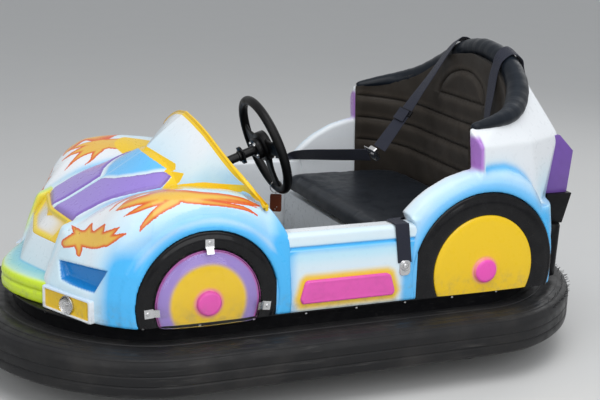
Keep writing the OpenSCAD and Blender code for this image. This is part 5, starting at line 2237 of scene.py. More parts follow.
@dataclass
class Sides:
    """The sills between the wheels with their raised panels."""

    panel: Points = ((128, 292), (115, 340), (108, 346), (-140, 346), (-152, 340), (-167, 290),
                     (-160, 278), (122, 278))

    def make_sills(self, paint: Finish) -> Piece:
        """Builds both sills: a flat top, a stepped line below it, and the outer face.

        Args:
            paint: The finish of the painted mouldings.

        Returns:
            The finished piece.
        """
        section = filleted(
            ((408, 90), (408, 484), (456, 484), (466.5, 478), (467.5, 447), (463.0, 442.5), (463.0, 439),
             (468.4, 434.5), (469, 260), (466, 255)), (0, 7, 6, 8, 2.5, 2, 2, 3, 4, 0), 4)
        dense = [section[0]]
        for a, b in zip(section[:-1], section[1:]):
            parts = max(1, ceil(np.linalg.norm(b - a) / (6.0 if b[0] > 440 or a[0] > 440 else 40.0)))
            dense += [a + (b - a) * t for t in np.linspace(0, 1, parts + 1)[1:]]
        loop = np.vstack([dense, [(458, 255), (458, 430), (456, 474), (418, 474), (418, 90)]])
        x = np.append(np.arange(-238.0, 199.0, 4.5), 199.0)
        rows = np.stack([np.stack([np.full(len(loop), xi), loop[:, 0], loop[:, 1]], axis=-1) for xi in x])
        piece = joined("sill_pair", (loft("sill_left", rows), loft("sill_right", rows * [1, -1, 1])), 45.0)
        px, py, pz = places_of(piece).T
        out = np.abs(py) > 450
        halo = (1.0 - smooth_step(polygon_distance(px, pz, self.panel), 6.0, 27.0)) * out * (pz < 400) * 0.96
        line = bell(pz - 441.0, 5.5) + 0.55 * bell(pz - 432.0, 9.0)
        ends = smooth_step(px, 128.0, 176.0) + smooth_step(-px, 178.0, 204.0)
        store(piece, "sun", np.clip(halo, 0, 1))
        store(piece, "sky", np.clip((0.95 * line + 0.9 * ends * (pz < 432)) * out, 0, 1) * (1 - halo))
        store(piece, "pale", np.clip(0.30 + 0.45 * bell(pz - 418.0, 24.0), 0, 1) * out)
        return publish(piece, Body.BASE, paint, "sills")

    def make_panels(self) -> Piece:
        """Builds the raised pink panels with their soft, shaded edges.

        Returns:
            The finished piece.
        """
        loop = np.array(self.panel, float)
        seam = (loop[-1] + loop[0]) / 2
        loop = filleted(np.vstack([seam, loop, seam]), (0, 16, 16, 24, 28, 16, 28, 24, 12, 0), 6)[:-1]
        way = np.roll(loop, -1, axis=0) - np.roll(loop, 1, axis=0)
        normal = unit(np.stack([way[:, 1], -way[:, 0]], axis=1))
        centre = loop.mean(axis=0)
        if np.mean(np.sum(normal * (loop - centre), axis=1)) < 0:
            normal = -normal
        parts = []
        for side in (1, -1):
            rings = []
            for inset, out in ((0, 464), (0, 472.4), (0.8, 475.2), (2.6, 477.2), (5.2, 478), (9, 477.7),
                               (13, 477.3)):
                ring = loop - normal * min(inset, 6.0)
                ring = centre + (ring - centre) * (1.0 - 0.02 * max(inset - 6.0, 0.0))
                rings.append([[p[0], side * out, p[1]] for p in ring])
            for shrink in (0.7, 0.4, 0.1):
                ring = centre + (loop - normal * 6.0 - centre) * shrink
                rings.append([[p[0], side * 477.3, p[1]] for p in ring])
            parts.append(loft("panel", rings))
        pink = Gloss("pink_enamel", (0.76, 0.10, 0.44), 0.3, 0.55, 0.03).make()
        return publish(joined("side_panel_pair", parts, 50.0), Body.BASE, pink, "side_panels")

    def make(self, paint: Finish) -> None:
        """Builds the sills and the panels."""
        self.make_sills(paint)
        self.make_panels()


@dataclass
class ShamWheel:
    """A pair of flat-bottomed sham wheels. They are moulded on and don't turn.

    Attributes:
        name: Whether it is the front or the rear pair.
        at: The wheel's centre along the car and above the ground.
        tyre: The tyre's profile of radius and distance out of its pocket.
        disc: The painted disc's profile.
        dome: The clear dome's profile, if there is one.
    """

    name: str
    at: tuple[float, float]
    tyre: Points
    disc: Points
    dome: Points | None = None

    def _pair(self, label: str, profile: Points, steps: int = 144) -> Piece:
        """Turns a profile on both sides, cut flat at the flange.

        Args:
            label: The pair's name.
            profile: Radii and heights of the turned profile.
            steps: Parts round the axis.

        Returns:
            The pair.
        """
        parts = []
        for side in (1, -1):
            stand = Matrix.Translation((self.at[0], side * 455.0, self.at[1]))
            turn = stand @ Matrix.Rotation(radians(-90 * side), 4, "X")
            parts.append(revolved(label, profile, turn, steps))
        piece = joined(label, parts, 42.0)
        cut_below(piece, 255.2)
        shade_by_angle(piece, 42.0)
        return piece

    def make(self, tyre_finish: Finish, paint: Finish, glass: Finish | None) -> None:
        """Builds the tyres, the painted discs and the domes.

        Args:
            tyre_finish: The black gloss of the sham tyres.
            paint: The finish of the painted mouldings.
            glass: The clear plastic.
        """
        tyre = self._pair(f"{self.name}_tyre_pair", self.tyre)
        publish(tyre, Body.BASE, tyre_finish, f"{self.name}_tyres")
        dense = [self.disc[0]]
        for start, stop in zip(self.disc[:-1], self.disc[1:]):
            count, span = max(1, int(dist(start, stop) / 3.5)), np.array(stop) - start
            dense += [tuple(np.array(start) + span * k / count) for k in range(1, count + 1)]
        disc = self._pair(f"{self.name}_disc_pair", dense)
        x, _, z = places_of(disc).T
        r = np.hypot(x - self.at[0], z - self.at[1])
        rose = np.maximum(1.0 - smooth_step(r, 34.5, 37.5), 0.6 * (1.0 - smooth_step(r, 36.0, 47.0)))
        if self.dome is not None:
            store(disc, "violet", 0.96 * smooth_step(r, 101.0, 117.0))
            rose = np.maximum(rose, 0.7 * smooth_step(r, 141.0, 146.0))
        store(disc, "sun", np.ones(len(r)))
        store(disc, "rose", rose)
        publish(disc, Body.BASE, paint, f"{self.name}_discs")
        if self.dome is not None:
            dome = self._pair(f"{self.name}_dome_pair", self.dome)
            publish(dome, Body.BASE, glass, f"{self.name}_domes")


@dataclass
class Clips:
    """The small steel clips that hold the front domes to their tyres."""

    centre: tuple[float, float] = (397.0, 310.0)
    angles: Sequence[float] = (-4.5, 90.0, 188.0)

    def make(self, steel: Finish) -> Piece:
        """Builds three bent clips on each side, with a screw through each foot.

        Args:
            steel: The bright metal.

        Returns:
            The finished piece.
        """
        parts = []
        for side in (1, -1):
            for angle in self.angles:
                a = radians(angle)
                flip = Matrix.Scale(-1, 4, (0, 1, 0)) if side < 0 else Matrix()
                face = Matrix(((cos(a), 0, -sin(a), 0), (0, 1, 0, 0), (sin(a), 0, cos(a), 0), (0, 0, 0, 1)))
                path = filleted(((181, 14.6), (160, 15.8), (154.5, 18), (150.5, 21.5), (141, 25.8)),
                                (0, 6, 3, 3, 0), 4)
                rows = []
                for i, (radial, out) in enumerate(path):
                    d = unit(path[min(i + 1, len(path) - 1)] - path[max(i - 1, 0)])
                    n = np.array([-d[1], d[0]])
                    wide = 13.0 if radial > 156 else 11.0
                    top = path[i] + n * (-1.8 if n[1] < 0 else 1.8)
                    rows.append([[radial, out, -wide], [radial, out, wide], [*top, wide - 0.6],
                                 [*top, -wide + 0.6]])
                turn = flip @ Matrix.Translation((self.centre[0], 455.0, self.centre[1])) @ face
                parts.append(loft("clip", placed(rows, turn)))
                seat = turn @ Matrix.Translation((171.5, 16.0, 0)) @ Matrix.Rotation(radians(-90), 4, "X")
                parts.append(revolved("screw", ((0, -1), (5.0, -1), (5.0, 1.6), (3.6, 3.0), (1.6, 3.2),
                                                (1.4, 2.2), (0, 2.2)),
                                      seat, 20))
        return publish(joined("dome_clips", parts, 35.0), Body.BASE, steel)


@dataclass
class Steering:
    """The steering wheel on its shaft, the bolts at its hub and the key tag that hangs from it."""

    centre: tuple[float, float, float] = (64.0, 0.0, 635.0)
    lean: float = -70.0
    tag_at: tuple[float, float, float] = (13.0, -26.0, 493.4)

    def _stand(self) -> Matrix:
        """The wheel's own axes: z to the driver, x up the wheel."""
        return Matrix.Translation(self.centre) @ Matrix.Rotation(radians(self.lean), 4, "Y")

    def make_wheel(self, finish: Finish) -> Piece:
        """Builds the thick rim, the three spokes and the hub with its soft pad.

        Args:
            finish: The piece's finish.

        Returns:
            The finished piece.
        """
        stand = self._stand()
        angle = np.linspace(0, 2 * pi, 121)
        rim = np.stack([149 * np.cos(angle), 149 * np.sin(angle), 0 * angle], axis=1)
        radial = rim / 149.0
        turn = np.linspace(0, 2 * pi, 25)[:-1]
        grip = 14.3 - 0.9 * np.clip(np.cos(turn), 0, 1) ** 6
        rows = (rim[:, None, :] + grip[None, :, None] * (np.cos(turn)[None, :, None] * -radial[:, None, :]
                + np.sin(turn)[None, :, None] * np.array([0, 0, 1.0])))
        parts = [loft("rim", placed(rows, stand), caps=False)]
        for degrees in (84.0, 180.0, 276.0):
            reach = np.array([18.0, 34, 46, 60, 78, 98, 116, 128, 137, 141])
            half = np.array([24.0, 26, 26, 24, 23, 23.5, 26, 30, 36, 40])
            thick = np.array([6.5, 6.5, 6.2, 5.6, 5.2, 5.2, 5.4, 6.0, 6.6, 6.6])
            rise = np.array([-3.0, -3, -3.4, -4.4, -5, -4.6, -3.4, -2, -1, -0.6])
            t = np.linspace(0, 2 * pi, 29)[:-1]
            wide = np.abs(np.cos(t)) ** 0.5 * np.sign(np.cos(t))
            high = np.abs(np.sin(t)) ** 0.62 * np.sign(np.sin(t))
            dip = 2.0 * bell(wide, 0.42) * np.sign(high)
            spoke = []
            for r, h, k, up in spline(np.stack([reach, half, thick, rise], axis=1), 4):
                sunk = dip * smooth_step(r, 48, 62) * (1 - smooth_step(r, 112, 126))
                spoke.append(np.stack([np.full(28, r), h * wide, k * high + up - sunk], axis=1))
            parts.append(loft("spoke", placed(spoke, stand @ Matrix.Rotation(radians(degrees), 4, "Z"))))
        hub = ((0, -17.6), (44, -17.6), (47.2, -16), (48, -13), (48, 2), (46.6, 4.4), (47.4, 5.6),
               (47, 8.6), (43, 11.2), (30, 12.0), (27, 11.2), (25, 11.8), (0, 12.0))
        parts.append(revolved("hub", hub, stand, 72))
        piece = joined("steering_wheel_rim", parts, 50.0)
        return publish(piece, Body.STEERING, finish, "steering_wheel")

    def make_shaft(self, finish: Finish) -> Piece:
        """Builds the shaft with the boss under the wheel and the bearing plate at the windscreen.

        Args:
            finish: The piece's finish.

        Returns:
            The finished piece.
        """
        stand = self._stand()
        profile = ((0, -327), (14, -327), (14, -94), (17, -92), (17, -86), (27, -85), (28, -83.6), (28, -79),
                   (26.6, -77.6), (19, -77), (17.5, -74), (14.6, -73), (14.6, -44), (17, -38), (33, -36),
                   (34, -34.6), (34, -19.4), (33, -18.4), (0, -18.4))
        plate = moved(hulled("plate", [box_points((20, -31, -84), (-20, 31, -79))], 2.0, 2), stand)
        piece = joined("steering_shaft", (revolved("shaft", profile, stand, 64), plate))
        return publish(piece, Body.STEERING, finish, "steering_column")

    def make_bolts(self, steel: Finish) -> Piece:
        """Repeats four bolts round the boss.

        Args:
            steel: The bright metal.

        Returns:
            The finished piece.
        """
        stand, radius = self._stand(), 25.5
        points, ways, runs = [], [], []
        for degrees in (40.0, 130.0, 220.0, 310.0):
            out = Vector((cos(radians(degrees)), sin(radians(degrees)), 0))
            points.append(stand @ (radius * out + Vector((0, 0, -36.0))))
            ways.append(stand.to_3x3() @ Vector((0, 0, -1)))
            runs.append(stand.to_3x3() @ out)
        bolts = Scatter("steering_bolts", bolt_head("bolt", 5.2, 5.5), steel, 0.01, 0.02, 3)
        return bolts.make(points, ways, Body.STEERING, "bright_metal", runs)

    def make_tag(self, brown: Finish, steel: Finish) -> Piece:
        """Builds the tag as a stitched fob with two studs, and its wire ring.

        Args:
            brown: The tag's brown plastic.
            steel: The bright metal.

        Returns:
            The finished piece.
        """
        stand = Matrix.Translation(self.tag_at)
        t = np.linspace(0, 2 * pi, 49)
        circle = np.stack([20 * np.cos(t), 1.2 * np.sin(2 * t), 20 * np.sin(t)], axis=1)
        ring = loft("ring", placed(tube(circle, 1.4, 8, up=(0, 1, 0)), stand), caps=False)
        link = np.stack([0 * t, 2.6 * np.cos(t), -21.5 - 4.8 * np.sin(t)], axis=1)
        small = loft("link", placed(tube(link, 1.1, 8, up=(1, 0, 0)), stand), caps=False)
        wires = joined("key_ring", (ring, small), 60.0)
        turn = stand @ Matrix.Rotation(radians(66.0), 4, "Z")
        rings = []
        for x, grow in ((-4.6, -1.6), (-4.2, -0.5), (-3.0, 0.0), (3.0, 0.0), (4.2, -0.5), (4.6, -1.6),
                        (4.6, -3.4), (4.15, -4.2), (4.5, -5.0), (4.7, -10)):
            box = rounded_box(37 + 2 * grow, 57 + 2 * grow, max(5.5 + grow, 0.6))
            rings.append([[x, p[0], p[1] - 53.0] for p in box])
        fob = joined("key_tag_fob", (loft("tag", placed(rings, turn)),))
        publish(fob, Body.STEERING, brown, "key_tag")
        publish(wires, Body.STEERING, steel)
        spots = [turn @ Vector((4.3, y, z)) for y, z in ((3.5, -66.0), (-1.5, -73.0))]
        ways = [turn.to_3x3() @ Vector((1, 0, 0))] * 2
        studs = Scatter("tag_studs", dome_head("stud", 1.9, 1.1), steel, 0.03, 0.0, 5)
        return studs.make(spots, ways, Body.STEERING, "bright_metal")

    def make(self, steel: Finish) -> None:
        """Builds everything that turns with the steering wheel.

        Args:
            steel: The bright metal.
        """
        self.make_wheel(Rubber("soft_grip", (0.006, 0.006, 0.0065), (0.34, 0.5), 0.15, 0.06).make())
        self.make_shaft(Gloss("shaft_enamel", (0.008, 0.008, 0.009), 0.3, 0.15, 0.1).make())
        self.make_bolts(steel)
        self.make_tag(Gloss("brown_fob", (0.14, 0.035, 0.015), 0.42, 0.15, 0.1).make(), steel)


@dataclass
class Belts:
    """The webbing of both belts, the buckle and the anchors."""

    strap_left: Points = (
        (-776, 150, 792, 0, 22, 0), (-748, 150, 874, 0, 22, -4), (-738, 150, 914, 0, 22, -8),
        (-702, 150, 934, 0, 22, -10), (-666, 152, 914, 0, 22, -9), (-650, 156, 880, 0, 22, 0),
        (-632, 170, 830, 0, 22, 0), (-583, 230, 700, 5, 21, 0), (-548, 286, 560, 8, 20, 0),
        (-516, 330, 462, 12, 18, 0))
    strap_right: Points = (
        (-776, -150, 792, 0, 22, 0), (-748, -150, 874, 0, 22, 4), (-738, -150, 914, 0, 22, 8),
        (-702, -150, 934, 0, 22, 10), (-666, -150, 914, 0, 22, 9), (-560, -122, 797, 0, 22, 0),
        (-470, -97, 700, -8, 20, -4), (-368, -69, 588, -13, 16, -9))
    lap_right: Points = (
        (-340, -90, 563, 8, 0, 20), (-222, -388, 506, 14, 0, 17), (-181, -414, 487.2, 22, 0, 0),
        (-181, -440, 487.6, 22, 0, 0), (-181, -466, 486.4, 22, 0, 0), (-182, -471.2, 478, 22, 0, 0),
        (-196, -471, 372, 22, 0, 0))
    lap_left: Points = (
        (-300, 330, 454, 16, 14, 0), (-222, 392, 485, 20, 6, 0), (-181, 414, 487.2, 22, 0, 0),
        (-181, 440, 487.6, 22, 0, 0), (-181, 466, 486.4, 22, 0, 0), (-182, 471.2, 478, 22, 0, 0),
        (-196, 471, 372, 22, 0, 0))

    @staticmethod
    def ribbon(name: str, rows: Points, thick: float = 2.2, curl: float = 0.5) -> Piece:
        """Builds flat webbing along rows of a place and half a width.

        Args:
            name: The piece's name.
            rows: Rows of x, y, z and the half width's direction.
            thick: The webbing's thickness.
            curl: How far its edges curl, in millimetres.

        Returns:
            The webbing with its UV map in metres along and across.
        """
        line = spline(rows, 10)
        place, half = line[:, :3], line[:, 3:]
        wide = np.linalg.norm(half, axis=1, keepdims=True)
        across = half / wide
        over = unit(np.cross(unit(np.gradient(place, axis=0)), across))
        length = travelled(place)
        places = (-1, -0.97, -0.8, -0.4, 0, 0.4, 0.8, 0.97, 1)
        upper = [(a, thick / 2 * (0.35 if abs(a) > 0.99 else 1.0)) for a in places]
        s = np.array(upper + [(a, -b) for a, b in upper[::-1]])
        sway = np.sin(length[:, None] / np.array([31.0, 47.0]))
        wave = curl * s[:, 0] ** 2 * sway[:, :1] + 0.5 * sway[:, 1:]
        piece = loft(name, place[:, None, :] + across[:, None, :] * (wide * s[None, :, 0])[:, :, None]
                     + over[:, None, :] * (s[None, :, 1] + wave)[:, :, None])
        count = len(s)
        layer = piece.data.uv_layers.new(name="UVMap")
        index = np.empty(len(piece.data.loops), int)
        piece.data.loops.foreach_get("vertex_index", index)
        uv = np.stack([length[index // count], wide[:, 0][index // count] * s[:, 0][index % count]],
                      axis=1) * MM
        layer.data.foreach_set("uv", uv.astype(np.float32).ravel())
        return piece

    def _stitches(self, rows: Points, start: float, stop: float) -> tuple[list, list, list]:
        """Places of the thread stitches that lock a fold of webbing, as a boxed cross.

        Args:
            rows: The strap's rows.
            start: Where the cross starts along it.
            stop: Where it ends.

        Returns:
            The stitches' places, the ways that they face and the ways that they run.
        """
        line = spline(rows, 10)
        length = travelled(line[:, :3])
        points, ways, runs = [], [], []
        for at in np.arange(start, stop, 3.2):
            here, ahead = (np.array([np.interp(s, length,
                                               column) for column in line.T]) for s in (at, at + 1))
            p, h = here[:3], here[3:]
            run = unit(ahead[:3] - p)
            over = np.cross(run, unit(h))
            share = (at - start) / (stop - start)
            for across in (-0.82, 0.82, 1.64 * share - 0.82, 0.82 - 1.64 * share):
                for side in (1, -1):
                    points.append(p + h * across + over * side * 1.5)
                    ways.append(over * side)
                    runs.append(run)
        return points, ways, runs

    def make_webbing(self, webbing: Finish) -> None:
        """Builds the webbing, with the doubled, stitched folds.

        Args:
            webbing: The belts' finish.
        """
        tail = ((-474, -98, 706, -8, 19, -4), (-462, -94.5, 691, -8, 19, -4), (-446, -90, 674, -9, 18, -5))
        fold = self.ribbon("fold", np.array(tail) + [5, 0, 4, 0, 0, 0], 3.4, 0.2)
        for node, straps, folds in (("belt_left", (self.strap_left, self.lap_left), ()),
                                    ("belt_right", (self.strap_right, self.lap_right), (fold,))):
            piece = joined(f"{node}_webbing",
                           (*(self.ribbon("strap", rows) for rows in straps), *folds), 60.0)
            publish(piece, Body.BASE, webbing, node)
        thread = Gloss("belt_thread", (0.05, 0.05, 0.07), 0.6, 0.0, 0.0).make()
        stitches = ([], [], [])
        for rows, start, stop in ((self.lap_right, 440.0, 500.0), (self.lap_left, 218.0, 262.0)):
            for kept, new in zip(stitches, self._stitches(rows, start, stop)):
                kept.extend(new)
        shape = hulled("stitch", [box_points((-1.3, -0.4, -0.5), (1.3, 0.4, 0.35))], 0.2, 1)
        repeat = Scatter("belt_stitches", shape, thread, 0.08, 0.04, 11)
        repeat.make(*stitches[:2], Body.BASE, "belt_webbing", stitches[2])

    def make_fittings(self, steel: Finish, plastic: Finish) -> None:
        """Builds the buckle, the slider on the right strap, and the anchors with their bolts.

        Args:
            steel: The bright metal.
            plastic: The black plastic.
        """
        turn = (Matrix.Translation((-352, -75, 571)) @ Matrix.Rotation(radians(12), 4, "Z")
                @ Matrix.Rotation(radians(34), 4, "Y") @ Matrix.Rotation(radians(-14), 4, "X"))
        rings = []
        for x, grow in ((-8, -1.5), (-7, -0.2), (-5, 0), (5, 0), (7, -0.4), (8, -2.0), (8, -5.0),
                        (6.6, -6.4), (6.6, -9)):
            box = rounded_box(32 + 2 * grow, 50 + 2 * grow, max(5.0 + grow, 0.5))
            rings.append([[x, p[0], p[1]] for p in box])
        body = loft("buckle", placed(rings, turn))
        tongue = moved(hulled("tongue", [box_points((-1.4, -44, -13), (1.4, -8, 13))], 1.2, 3), turn)
        button = moved(hulled("button", [box_points((5, -7, -7), (9.2, 7, 7))], 1.4, 3), turn)
        buckle = joined("belt_buckle_body", (body, tongue, button), 35.0)
        publish(buckle, Body.BASE, steel, "belt_buckle")
        anchors = []
        for side in (1, -1):
            seat = Matrix.Translation((-197, side * 469.5, 362))
            seat = seat @ Matrix.Rotation(radians(-90 * side), 4, "X")
            plate = rounded_box(34, 46, 12)
            rings = [[[p[0] * k, p[1] * k + 6 * side, z] for p in plate]
                     for k, z in ((1, -1), (1, 3.2), (0.96, 4.4), (0.2, 4.4))]
            anchors.append(loft("anchor", placed(rings, seat)))
            anchors.append(revolved("eye", ((0, 0), (14.5, 0), (15, 1), (15, 5.4), (13.5, 6.6),
                                            (11, 6.4), (9.8, 5.2), (0, 5.0)), seat, 48))
            anchors.append(revolved("bolt", ((0, 4.6), (7.4, 4.6), (7.4, 8.4), (5.6, 9.4), (2.6, 9.4),
                                             (2.2, 7.6), (0, 7.6)),
                                    seat, 32))
        anchor_pair = joined("belt_anchor_pair", anchors, 35.0)
        publish(anchor_pair, Body.BASE, steel, "belt_anchors")
        ahead = Vector((102, 28, -112)).normalized()
        side = Vector((-8, 20, -4)).normalized()
        axes = Matrix((ahead, side, ahead.cross(side).normalized())).transposed().to_4x4()
        boxes = [box_points((shift - 2.4, -26, -3.6), (shift + 2.4, 26, 3.6)) for shift in (-9, 0, 9)]
        boxes += [box_points((-11.5, y - 2.2, -3.8), (11.5, y + 2.2, 3.8)) for y in (-26, 26)]
        turn = Matrix.Translation((-470, -97, 701)) @ axes
        bars = [moved(hulled("bar", [box], 1.6, 3), turn) for box in boxes]
        publish(joined("strap_slider", bars, 35.0), Body.BASE, plastic)

    def make(self, steel: Finish, plastic: Finish) -> None:
        """Builds both belts."""
        self.make_webbing(Webbing().make())
        self.make_fittings(steel, plastic)


@dataclass
class Tail:
    """The purple tail lamps, the bar and the posts behind the shell."""

    def make(self, plastic: Finish) -> None:
        """Builds the three from rounded hulls.

        Args:
            plastic: The black plastic.
        """
        lamp = box_points((-806, 190, 686), (-746, 312, 687))
        lamp += box_points((-864, 200, 632), (-804, 306, 633))
        lamp += box_points((-852, 200, 499), (-762, 306, 500))
        purple = Gloss("purple_enamel", (0.17, 0.085, 0.36), 0.3, 0.45, 0.04).make()
        publish(hulled("tail_lamp_pair", both(lamp), 4.0), Body.BASE, purple, "tail_lamps")
        bar = box_points((-862, -320, 496), (-772, 320, 498.7))
        bar += box_points((-845, -306, 398), (-755, 306, 400))
        publish(hulled("tail_bar_moulding", [bar], 7.0, 5), Body.BASE, plastic, "tail_bar")
        posts = []
        for side in (1, -1):
            line = np.array([[-812, side * 300, 398], [-812, side * 300, 392], [-811.4, side * 299.4, 340],
                             [-810.5, side * 298.6, 280], [-810, side * 298, 228],
                             [-810, side * 298, 226]], float)
            radius = np.array([23, 26, 25.2, 24.4, 23.4, 21.5])
            posts.append(loft("post", tube(line, radius, 32, up=(1, 0, 0))))
        publish(joined("tail_post_pair", posts, 50.0), Body.BASE, plastic, "tail_posts")


@dataclass
class RunningGear:
    """What stands under the mouldings: the wheels, their fork and brackets, the tower, battery and pedal."""

    def _wheel(self, body: Body, node: str, place: tuple[float, float, float], radius: float, half: float,
               bore: float, rim: float, finish: Finish) -> None:
        """Builds one wheel with a grooved tread and dished sides.

        Args:
            body: The wheel's own body.
            node: The solid that it replaces.
            place: Its centre.
            radius: Its outer radius.
            half: Half of its width.
            bore: Radius of its axle hole.
            rim: Radius at which its dished side starts.
            finish: Its rubber.
        """
        w = half
        profile = [(bore, -w), (26, -w), (28, -w + 6), (rim, -w + 6), (rim + 2, -w), (radius - 5, -w),
                   (radius - 1, -w + 5)]
        for middle in (-0.45 * w, 0.0, 0.45 * w):
            profile += [(radius, middle - 2.6), (radius - 2.6, middle - 1.6), (radius - 2.6, middle + 1.6),
                        (radius, middle + 2.6)]
        profile += [(radius - 1, w - 5), (radius - 5, w), (rim + 2, w), (rim, w - 6), (28, w - 6),
                    (26, w), (bore, w)]
        turn = Matrix.Translation(place) @ Matrix.Rotation(radians(90), 4, "X")
        wheel = revolved(f"{node}_tyre", profile, turn)
        shade_by_angle(wheel)
        publish(wheel, body, finish, node)

    def make(self, steel: Finish, zinc: Finish, plastic: Finish) -> None:
        """Builds all of the running gear.

        Args:
            steel: The bright metal.
            zinc: The zinc-coated steel.
            plastic: The black plastic.
        """
        rubber = Rubber("wheel_rubber", (0.022, 0.021, 0.021), (0.5, 0.7), 0.6, 0.3).make()
        self._wheel(Body.DRIVE, "drive_wheel", (400, 0, 75), 75.0, 24.6, 11.0, 50.0, rubber)
        for body, node, y in ((Body.REAR_LEFT, "rear_wheel_left", 366),
                              (Body.REAR_RIGHT, "rear_wheel_right", -366)):
            self._wheel(body, node, (-490.0, y, 85), 85.0, 17.6, 9.2, 56.0, rubber)
        for node, body, slot, finish, width in (
            ("steering_tower", Body.BASE, "black_steel", steel, 2.0),
            ("drive_fork", Body.FORK, "grey_steel", zinc, 1.5),
            ("rear_bracket_left", Body.BASE, "grey_steel", zinc, 1.2),
            ("rear_bracket_right", Body.BASE, "grey_steel", zinc, 1.2),
            ("battery_box", Body.BASE, "black_plastic", plastic, 5.0),
            ("pedal", Body.BASE, "grey_steel", zinc, 1.2),
        ):
            publish(bevelled(node, f"{node}_part", width, 2), body, finish)


@dataclass
class Fixings:
    """The small repeats: rivets in the strip, whiskers on the ring, stitches on the seat."""

    bumper: Bumper
    seat: Seat

    def make_rivets(self, steel: Finish) -> None:
        """Repeats the rivets along the strip.

        Args:
            steel: The bright metal.
        """
        p, w = self.bumper.outline(40)
        loop = np.hstack([p - w * 133.4, w])
        loop = np.vstack([loop, loop[:1]])
        length = travelled(loop[:, :2])
        at = np.arange(60.0, length[-1], 158.0)
        x, y, out_x, out_y = (np.interp(at, length, column) for column in loop.T)
        rivets = Scatter("strip_rivets", dome_head("rivet", 4.3, 2.2), steel, 0.05, 0.05, 13)
        rivets.make(np.stack([x, y, np.full(len(at), 239.0)], axis=1),
                    np.stack([out_x, out_y, 0 * at], axis=1), Body.BASE, "bright_metal")

    def make_whiskers(self, rubber: Finish) -> None:
        """Repeats the moulding whiskers that stand on the ring's rear shoulder.

        Args:
            rubber: The ring's rubber.
        """
        p, w = self.bumper.outline(60)
        chosen = [i for i in range(len(p)) if p[i, 0] < -700]
        rng = np.random.default_rng(4)
        points, ways = [], []
        for i in chosen:
            if rng.random() < 0.22:
                continue
            rise = rng.uniform(-0.1, 0.5)
            sink = rng.uniform(6.0, 9.0) + max(0.0, -968.0 - p[i, 0] - 5.0 * w[i, 0])
            points.append([*(p[i] - w[i] * sink), rng.uniform(188.0, 193.0)])
            ways.append([*w[i], 0.25 + rise])
        for i in chosen[::3]:
            points.append([*(p[i] - w[i] * 24.0), 202.5])
            ways.append([*(w[i] * 0.4), 1.0])
        line = np.array([[0, 0, -2.0], [0, 0, 3], [0.4, 0, 6.5], [1.2, 0.1, 9.6], [2.3, 0.2, 12.2]])
        hair = loft("hair", tube(line, np.array([0.95, 0.85, 0.75, 0.6, 0.3]), 6, up=(1, 0, 0)))
        Scatter("ring_whiskers", hair, rubber, 0.3, 0.34, 21).make(points, ways, Body.BASE, "ring_rubber")

    def make_stitches(self) -> None:
        """Repeats the thread stitches beside the seat's seams."""
        rows, normal, lift, around = self.seat.seams
        points, ways, runs = [], [], []
        for height in self.seat.channels:
            for column in np.arange(0.03, 0.97, 0.0052):
                droop = float(self.seat.droop(height, np.array(column))) + 5.0
                c = int(np.argmin(np.abs(around - column)))
                r = int(np.argmin(np.abs(rows[:, c, 2] - droop)))
                points.append(rows[r, c] + normal[r, c] * (lift[r, c] + 0.25))
                ways.append(normal[r, c])
                runs.append(unit(rows[r, min(c + 1, rows.shape[1] - 1)] - rows[r, max(c - 1, 0)]))
        thread = Gloss("seat_thread", (0.03, 0.03, 0.032), 0.55, 0.0, 0.0).make()
        shape = hulled("stitch", [box_points((-1.9, -0.45, -0.6), (1.9, 0.45, 0.4))], 0.2, 1)
        repeat = Scatter("seat_stitches", shape, thread, 0.08, 0.05, 17)
        repeat.make(points, ways, Body.BASE, "seat_vinyl", runs)

    def make(self, steel: Finish, rubber: Finish) -> None:
        """Builds the repeats."""
        self.make_rivets(steel)
        self.make_whiskers(rubber)
        self.make_stitches()


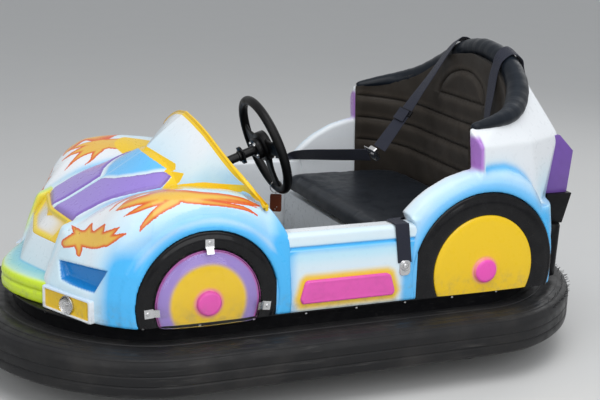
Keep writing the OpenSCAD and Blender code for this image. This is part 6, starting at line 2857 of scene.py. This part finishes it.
def main() -> None:
    """Builds the car's pieces in order and reports them."""
    logging.basicConfig(level=logging.INFO, format="%(message)s")
    Studio().make()
    paint = Gelcoat().make()
    glass = Clear().make()
    steel = Metal("bright_metal", (0.66, 0.66, 0.67), 0.24, 0.12).make()
    zinc = Metal("grey_steel", (0.34, 0.35, 0.36), 0.42, 0.45).make()
    gloss_black = Gloss("black_gloss", (0.004, 0.004, 0.005), 0.2, 0.25, 0.02).make()
    black_plastic = Gloss("black_plastic", (0.005, 0.005, 0.006), 0.36, 0.05, 0.05).make()
    enamel = Gloss("black_enamel", (0.006, 0.006, 0.007), 0.3, 0.15, 0.1).make()
    FrontBody().make(paint)
    Cowl().make(paint)
    RearBody().make(paint)
    seat, bumper = Seat(), Bumper()
    seat.make(paint)
    rubber = bumper.make(enamel)
    Nose().make(paint, glass, steel)
    Sides().make(paint)
    front_tyre = ((150, 0), (203, 0), (203, 7), (202, 9.6), (199, 11.8), (195.5, 12.9), (193.8, 12.3),
                  (192, 12.6), (186, 15), (176, 16.4), (166, 16.3), (157, 14.6), (152, 12.0), (150, 10))
    rear_tyre = ((168, 0), (238, 0), (238, 7), (236.6, 9.8), (233, 12), (229, 13), (226.6, 12.2),
                 (224, 12.7), (214, 15.2), (202, 16.6), (190, 16.2), (178, 14.2), (170, 11.6), (168, 10))
    ShamWheel("front", (397, 310), front_tyre,
              ((0, 0), (149.5, 0), (149.5, 4), (148, 6.2), (140, 8.4), (112, 12.4), (60, 14.2), (36.4, 15),
               (35, 16), (34.4, 21), (32.6, 25), (28, 27.2), (14, 28), (0, 28)),
              ((146, 11.5), (149.5, 11.5), (149.4, 14.5), (148, 20), (143, 25.6), (132, 31), (114, 35.2),
               (92, 38), (50, 40.4), (0, 41), (0, 38.6), (50, 38), (91.5, 35.6), (113, 32.8), (130.5, 28.6),
               (141, 23.6), (145.6, 18.4), (146.2, 14.2))).make(gloss_black, paint, glass)
    ShamWheel("rear", (-465, 324), rear_tyre,
              ((0, 0), (167.5, 0), (167.5, 9), (166.6, 11.2), (163.5, 12.8), (150, 14.6), (90, 16.6),
               (38.4, 17.2), (37, 18.4), (36.2, 24), (34, 28.2), (29, 30.2), (14, 31),
               (0, 31))).make(gloss_black, paint, None)
    Clips().make(steel)
    Steering().make(steel)
    Belts().make(steel, black_plastic)
    Tail().make(black_plastic)
    RunningGear().make(enamel, zinc, black_plastic)
    Fixings(bumper, seat).make(steel, rubber)


if __name__ == "__main__":
    main()
